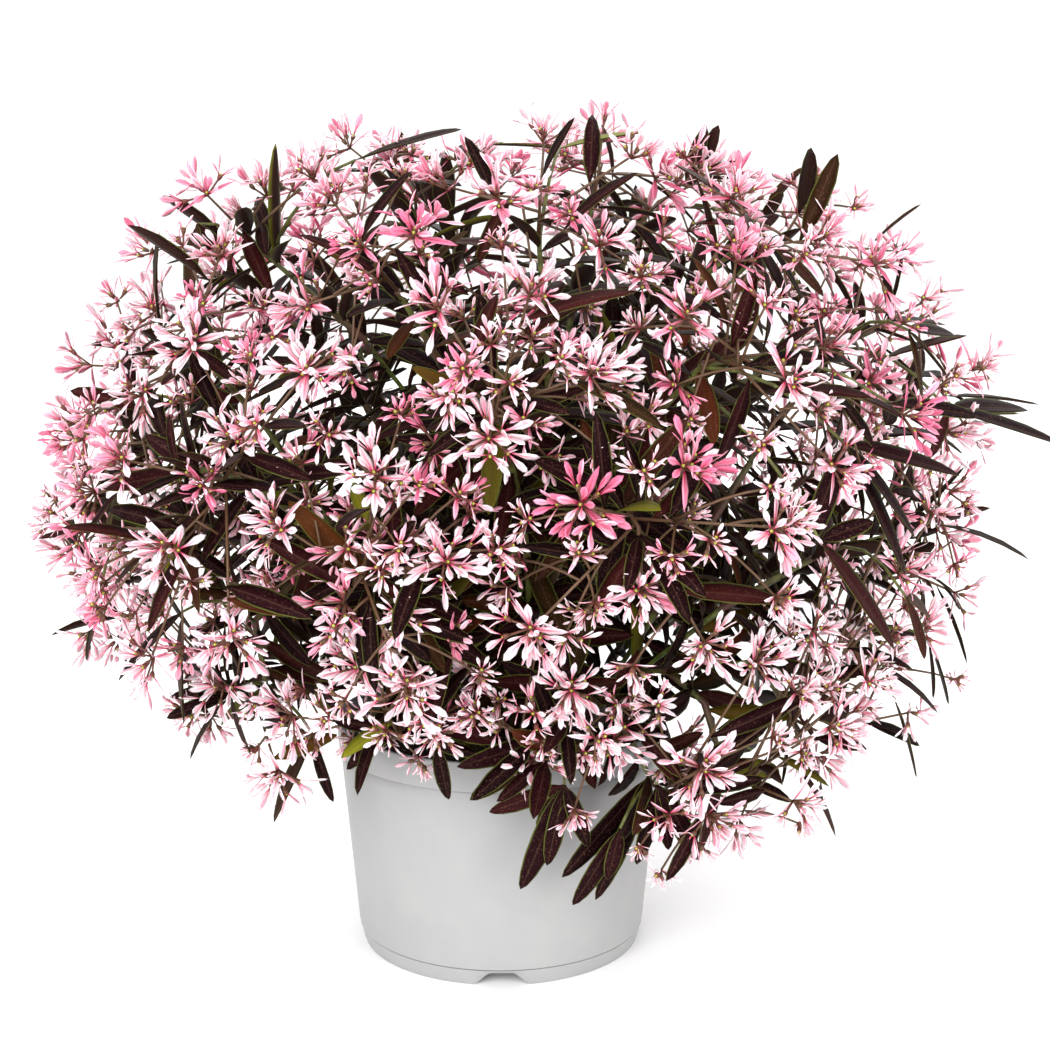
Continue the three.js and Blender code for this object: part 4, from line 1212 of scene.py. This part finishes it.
# Bark: smooth olive green, redder and browner at the swollen nodes.
bark, tree, surface = start_material("green_stem_bark")
streak = cloudy(tree, object_place(tree), 260, 3)
green = colours_over(tree, streak, (0.35, "#3f4a18"), (0.5, "#596a26"), (0.65, "#78893a"))
bark_colour = blend(tree, mark(tree, "tint"), green, paint("#4d2a1f"))
set_inputs(tree, surface, {"Base Color": bark_colour, "Roughness": 0.5})

LEAF_ROWS = [(0, 0.12), (0.05, 0.18), (0.14, 0.58), (0.28, 0.9), (0.48, 1), (0.68, 0.94), (0.84, 0.7),
             (0.95, 0.38), (1, 0.04)]
LEAF_COLUMNS = (-1, -0.5, 0, 0.5, 1)
SMALL_LEAF_ROWS = [(0, 0.12), (0.1, 0.34), (0.24, 0.82), (0.46, 1), (0.7, 0.92), (0.9, 0.54), (1, 0.04)]
SMALL_LEAF_COLUMNS = (-1, 0, 1)
LEAF_FOLD = 0.28
LEAF_THICKNESS = 0.7
LEAF_TWIST = 0.35
DARK_LEAVES = 1.9
STEM_SIDES = 8
STEM_SLIM = 0.75
STEM_NODE = 1.4
STEM_FOOT_SLIM = 0.8
STEM_FOOT_RED = 0.1
SHORT_STRETCH = 12
SHOOT_RED = 0.4
# How far before each node of a stem it swells, by how much, and how red its bark is there.
NODE_SWELLS = ((5, 1.0, 0.3), (1.8, 1.25, 0.75))
leaf_form = blade_form(LEAF_ROWS, LEAF_COLUMNS)
small_leaf_form = blade_form(SMALL_LEAF_ROWS, SMALL_LEAF_COLUMNS)
skins = [Skin() for _ in range(STEM_COUNT)]
leaf_draw = np.random.default_rng(SEED)
for twig in twigs:
    path, radii = twig["path"], twig["radii"]
    places, sizes, reds = [path[0]], [STEM_FOOT_SLIM * radii[0]], [STEM_FOOT_RED]
    for i in range(1, len(path)):
        along = unit(path[i] - path[i - 1])
        reach = length_of(path[i] - path[i - 1])
        size = STEM_SLIM * radii[i]
        for back, swell, red in NODE_SWELLS if reach > SHORT_STRETCH else ():
            places.append(path[i] - along * back)
            sizes.append(size * swell)
            reds.append(red)
        places.append(path[i])
        sizes.append(size * STEM_NODE)
        reds.append(1.0)
    marks = np.append(np.repeat(reds, STEM_SIDES), [reds[0], reds[-1]])
    skins[twig["stem"]].add_tube(places, sizes, STEM_SIDES, marks)
for stem, path in shoots:
    sizes = np.linspace(SHOOT_ROOT_RADIUS, SHOOT_END_RADIUS, len(path))
    skins[stem].add_tube(path, sizes, STEM_SIDES, SHOOT_RED)
for order, leaf in enumerate(leaves):
    form = leaf_form if order < large_leaves else small_leaf_form
    twist = leaf_draw.uniform(-LEAF_TWIST, LEAF_TWIST)
    points = blade_points(form, leaf["root"], leaf["heading"], leaf["face"], leaf["length"], leaf["half"],
                          leaf["droop"], LEAF_FOLD, LEAF_THICKNESS, twist)
    skins[leaf["owner"]].add_blade(points, form, leaf_draw.random() ** DARK_LEAVES)
for stem, skin in enumerate(skins):
    made = skin.make(f"leafy_stem_{stem + 1:02d}_grown", [leaf_skin, bark])
    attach(made, "root")
    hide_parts(f"leafy_stem_{stem + 1:02d}")

# The petals and cups of the sprays
# Each cyathium is a brown cup 2 mm wide with yellow-green glands on its rim, and four or five soft
# spoon-shaped petals. Several stand close together as one cluster, with narrow bracts under them.

# Petal skin: soft and matt, white to pink, with a deep pink stripe that runs from the foot towards the
# tip, and a deep pink back.
petal_skin, tree, surface = start_material("soft_petal")
along, tint = mark(tree, "along"), mark(tree, "tint")
pale = colours_over(tree, tint, (0, "#fffcfd"), (0.5, "#fff0f5"), (0.8, "#fbb9ce"), (1, "#ee7a9f"))
deep = colours_over(tree, tint, (0, "#e4537f"), (0.4, "#d52f62"), (0.8, "#bf1c4a"), (1, "#a01038"))
stripe = spread(tree, reckon(tree, "ABSOLUTE", mark(tree, "across")), 0.08, 0.6, 1, 0)
blush = reckon(tree, "MULTIPLY", stripe, spread(tree, along, 0.3, 0.98, 1, 0.35))
blush = reckon(tree, "MAXIMUM", blush, spread(tree, along, 0.12, 0.5, 1, 0))
pinkness = reckon(tree, "MAXIMUM", blush, reckon(tree, "MULTIPLY", mark(tree, "under"), 0.8))
set_inputs(tree, surface, {"Base Color": blend(tree, pinkness, pale, deep), "Roughness": 0.6,
                           "Subsurface Weight": 0.06, "Subsurface Radius": (0.002, 0.001, 0.001),
                           "Subsurface Scale": 1})

# Cups and pedicels: brown to dull red, thin and smooth, with yellow-green glands.
cup_skin, tree, surface = start_material("brown_cup_and_pedicel")
tint = mark(tree, "tint")
cup_colour = colours_over(tree, tint, (0, "#4a3820"), (0.4, "#5a3d24"), (0.7, "#692a26"), (1, "#a9a63a"))
set_inputs(tree, surface, {"Base Color": cup_colour, "Roughness": 0.5})

PETAL_ROWS = [(0, 0.2), (0.3, 0.34), (0.62, 1), (0.86, 0.82), (1, 0.1)]
PETAL_COLUMNS = (-1, 0, 1)
BRACT_ROWS = [(0, 0.2), (0.18, 0.6), (0.5, 1), (0.82, 0.65), (1, 0.05)]
PETAL_THICKNESS = 0.35
PETAL_FOLD = 0.15
PETAL_LENGTHS = (0.75, 1.15)
PETAL_SLIM = (0.125, 0.16)
PETAL_DROOP = (-0.08, 0.22)
PETAL_LEANS = (0.6, 1.3)
PETAL_FOOT = 0.8
PETAL_TWIST = 0.3
PETAL_STRAY = 0.35
PETAL_TINT_STRAY = 0.2
# A cup and its glands, as heights over the cup's foot and radii there.
CUP = ((-1.2, 0.5), (0, 1.0), (1.4, 1.15))
GLANDS = ((1.3, 0.75), (2.0, 0.5))
CUP_REDS = (0.3, 0.7)
CLUSTER_DEPTH = 3.0
MIDDLE_REACH = 9.5
MIDDLE_SPLAY = 0.6
SIDE_REACH = 9.2
SIDE_PEDICEL = 8
SIDE_PEDICEL_SHARES = (0.6, 1.15)
SIDE_STRAY = 0.3
SIDE_LOOKS_UP = (-0.15, 0.4)
SIDE_LEANS = (0.45, 1.45)
SIDE_SPLAYS = (0.3, 0.5, 0.7, 0.9)
BUD_TINT = 0.35
SIDE_TINT_STRAY = 0.1
BRACT_COUNT = 3
BRACT_LENGTHS = (0.75, 0.95)
BRACT_HALF_WIDTH = 1.4
BRACT_RISE = 0.15
BRACT_DROOP = 0.12
BRACT_TINT = 0.25
WHOLE_REACH = 16
PEDICEL_SIDES = 5
PEDICEL_RED = 0.35
THIN_SIDES = 4
FULL_FROM = 60
FULL_BELOW = 300
SPARSE_FROM = 145
FULL_LEFT_OF = 105
TINT_FROM_HEIGHT = 90
TINT_OVER_HEIGHT = 290
LEAST_TINT = 0.05
TINT_BY_HEIGHT = 0.38
TINT_BY_REACH = 0.15
TINT_WANDER = 0.22
MOST_TINT = 0.88
petal_form = blade_form(PETAL_ROWS, PETAL_COLUMNS)
bract_form = blade_form(BRACT_ROWS, PETAL_COLUMNS)
petal_draw = np.random.default_rng(SEED + 1)
vary = petal_draw.uniform


def stray(most):
    """A draw between minus and plus a number."""
    return vary(-most, most)


def add_petal(skin, form, root, heading, face, length, half, droop, tint):
    """A petal or bract with a slight fold and twist."""
    points = blade_points(form, root, heading, face, length, half, droop, PETAL_FOLD, PETAL_THICKNESS,
                          stray(PETAL_TWIST))
    skin.add_blade(points, form, tint)


def leaning(axis, first, second, turn, lean):
    """A direction round an axis, and one that leans from the axis towards it."""
    aside = around(first, second, turn)
    return aside, unit(axis * math.cos(lean) + aside * math.sin(lean))


def add_cyathium(skin, foot, axis, reach, tint, petals, splay):
    """One cup with its glands and petals, that looks along its axis."""
    first, second = bloom_frame(axis)
    for turned, sides, cup_tint in ((CUP, PEDICEL_SIDES, vary(*CUP_REDS)), (GLANDS, THIN_SIDES, 1)):
        skin.add_tube([foot + axis * height for height, _ in turned], [r for _, r in turned], sides, cup_tint)
    spin = vary(0, math.tau)
    for petal in range(petals):
        turn = spin + petal * math.tau / petals + stray(PETAL_STRAY)
        aside, heading = leaning(axis, first, second, turn, splay * vary(*PETAL_LEANS))
        length = reach * vary(*PETAL_LENGTHS)
        add_petal(skin, petal_form, foot + axis + aside * PETAL_FOOT, heading, axis, length,
                  length * vary(*PETAL_SLIM), vary(*PETAL_DROOP), tint + stray(PETAL_TINT_STRAY))


def add_cluster(skin, centre, axis, reach, tint, sides, spin):
    """A middle cyathium with others round it on pedicels of their own, and bracts below them."""
    first, second = bloom_frame(axis)
    scale = reach / WHOLE_REACH
    base = centre - axis * CLUSTER_DEPTH * scale
    add_cyathium(skin, centre, axis, MIDDLE_REACH * scale, tint, 5, MIDDLE_SPLAY)
    for side in range(sides):
        turn = spin + (side + stray(SIDE_STRAY)) * math.tau / sides
        _, heading = leaning(axis, first, second, turn, vary(*SIDE_LEANS))
        foot = base + heading * (SIDE_PEDICEL * scale * vary(*SIDE_PEDICEL_SHARES))
        skin.add_tube([base, foot - heading * 0.8], [0.5, 0.45], THIN_SIDES, 0.5)
        looks = unit(heading + UP * vary(*SIDE_LOOKS_UP))
        splay = petal_draw.choice(SIDE_SPLAYS)
        deeper = tint + BUD_TINT * (SIDE_SPLAYS[-1] - splay) + stray(SIDE_TINT_STRAY)
        add_cyathium(skin, foot, looks, SIDE_REACH * scale, deeper, int(petal_draw.integers(4, 6)), splay)
    for bract in range(BRACT_COUNT):
        turn = spin + (bract + stray(SIDE_STRAY)) * math.tau / BRACT_COUNT
        heading = unit(axis * BRACT_RISE + around(first, second, turn))
        add_petal(skin, bract_form, base, heading, axis, reach * vary(*BRACT_LENGTHS),
                  BRACT_HALF_WIDTH * scale, BRACT_DROOP, min(1.0, tint + BRACT_TINT))


def tint_at(place):
    """Pinker higher up and outside, whiter in the lower middle, and never the deepest pink all over."""
    height = (place[2] - TINT_FROM_HEIGHT) / TINT_OVER_HEIGHT
    outside = math.hypot((place[0] - MOUND_CENTRE[0]) / MOUND_RADIUS_X, place[1] / MOUND_RADIUS_Y)
    tint = LEAST_TINT + TINT_BY_HEIGHT * height + TINT_BY_REACH * outside + petal_draw.normal(0, TINT_WANDER)
    return within(tint, 0.0, MOST_TINT)


def side_count(x, y, z):
    """Clusters are fullest low on the front and the back, and sparse at the outline, more so on the right."""
    if abs(x) > SPARSE_FROM and abs(y) < FULL_FROM:
        return 3 if x < 0 else 2
    return 6 if abs(y) > FULL_FROM and z < FULL_BELOW and x < FULL_LEFT_OF else 4


for index, pedicels in enumerate(sprays):
    skin = Skin()
    for bloom, path in pedicels:
        centre, axis, reach = bloom["centre"], bloom["axis"], bloom["reach"]
        radii = [0.5, 0.8, 0.95] if len(path) == 3 else [0.5, 0.7]
        skin.add_tube([centre - axis * 1.5] + path[1:], radii, PEDICEL_SIDES, PEDICEL_RED)
        add_cluster(skin, centre, axis, reach, tint_at(centre), side_count(*centre), bloom["spin"])
    for place, foot, reach in young[index]:
        axis = unit(unit(place - foot) + unit(place - MOUND_CENTRE))
        path = bowed_path(foot, place - axis * 1.5, 0.1)
        skin.add_tube(path, np.linspace(0.6, 0.45, len(path)), THIN_SIDES, PEDICEL_RED)
        tint = tint_at(place) + YOUNG_TINT
        add_cluster(skin, place, axis, reach, tint, 3 if reach < YOUNG_SMALL else 4, vary(0, math.tau))
    made = skin.make(f"flower_spray_{index + 1:02d}_grown", [petal_skin, cup_skin])
    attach(made, "root")
    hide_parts(f"flower_spray_{index + 1:02d}")

# The studio
# A plain white floor under soft light from both sides of the camera and from behind, in metres.
FLOOR_SIDE = 40
LIGHT_AIM = (0, 0, 0.2)
floor_white, tree, surface = start_material("white_studio_floor")
set_inputs(tree, surface, {"Base Color": paint("#fafafa"), "Roughness": 0.8})
side = FLOOR_SIDE / 2
floor_mesh = bpy.data.meshes.new("floor")
floor_corners = [(-side, -side, 0), (side, -side, 0), (side, side, 0), (-side, side, 0)]
floor_mesh.from_pydata(floor_corners, [], [(0, 1, 2, 3)])
floor_mesh.materials.append(floor_white)
floor = add_object("studio_floor", floor_mesh)


def soft_light(name, place, size, power):
    """A square area light that looks at the middle of the plant."""
    lamp = bpy.data.lights.new(name, "AREA")
    lamp.energy = power
    lamp.size = size
    made = add_object(name, lamp)
    made.location = place
    made.rotation_euler = (Vector(LIGHT_AIM) - Vector(place)).to_track_quat("-Z", "Y").to_euler()


soft_light("key_softbox", (-0.9, -1.9, 1.0), 1.3, 42)
soft_light("fill_softbox", (1.4, -1.7, 0.7), 1.3, 20)
soft_light("back_softbox", (0.3, 1.8, 1.5), 1.4, 18)
world = bpy.data.worlds.new("studio_world")
world.use_nodes = True
set_inputs(world.node_tree, world.node_tree.nodes["Background"], {"Color": paint("#ffffff"), "Strength": 1.2})
bpy.context.scene.world = world
bpy.context.scene.view_settings.view_transform = "Standard"

# The camera stands where the photograph's did: 88 cm before the pot, 36 cm up and tipped 11 degrees down.
CAMERA_LENS = 68.13
CAMERA_SENSOR = 36
CAMERA_PLACE = (-0.002, -0.8786, 0.36457)
CAMERA_TIP = math.radians(90 - 11.046)
CAMERA_TURN = math.radians(-0.858)
camera_data = bpy.data.cameras.new("camera")
camera_data.lens = CAMERA_LENS
camera_data.sensor_width = CAMERA_SENSOR
camera = add_object("camera", camera_data)
camera.location = Vector(pot_middle) + Vector(CAMERA_PLACE)
camera.rotation_euler = (CAMERA_TIP, 0, CAMERA_TURN)
bpy.context.scene.camera = camera
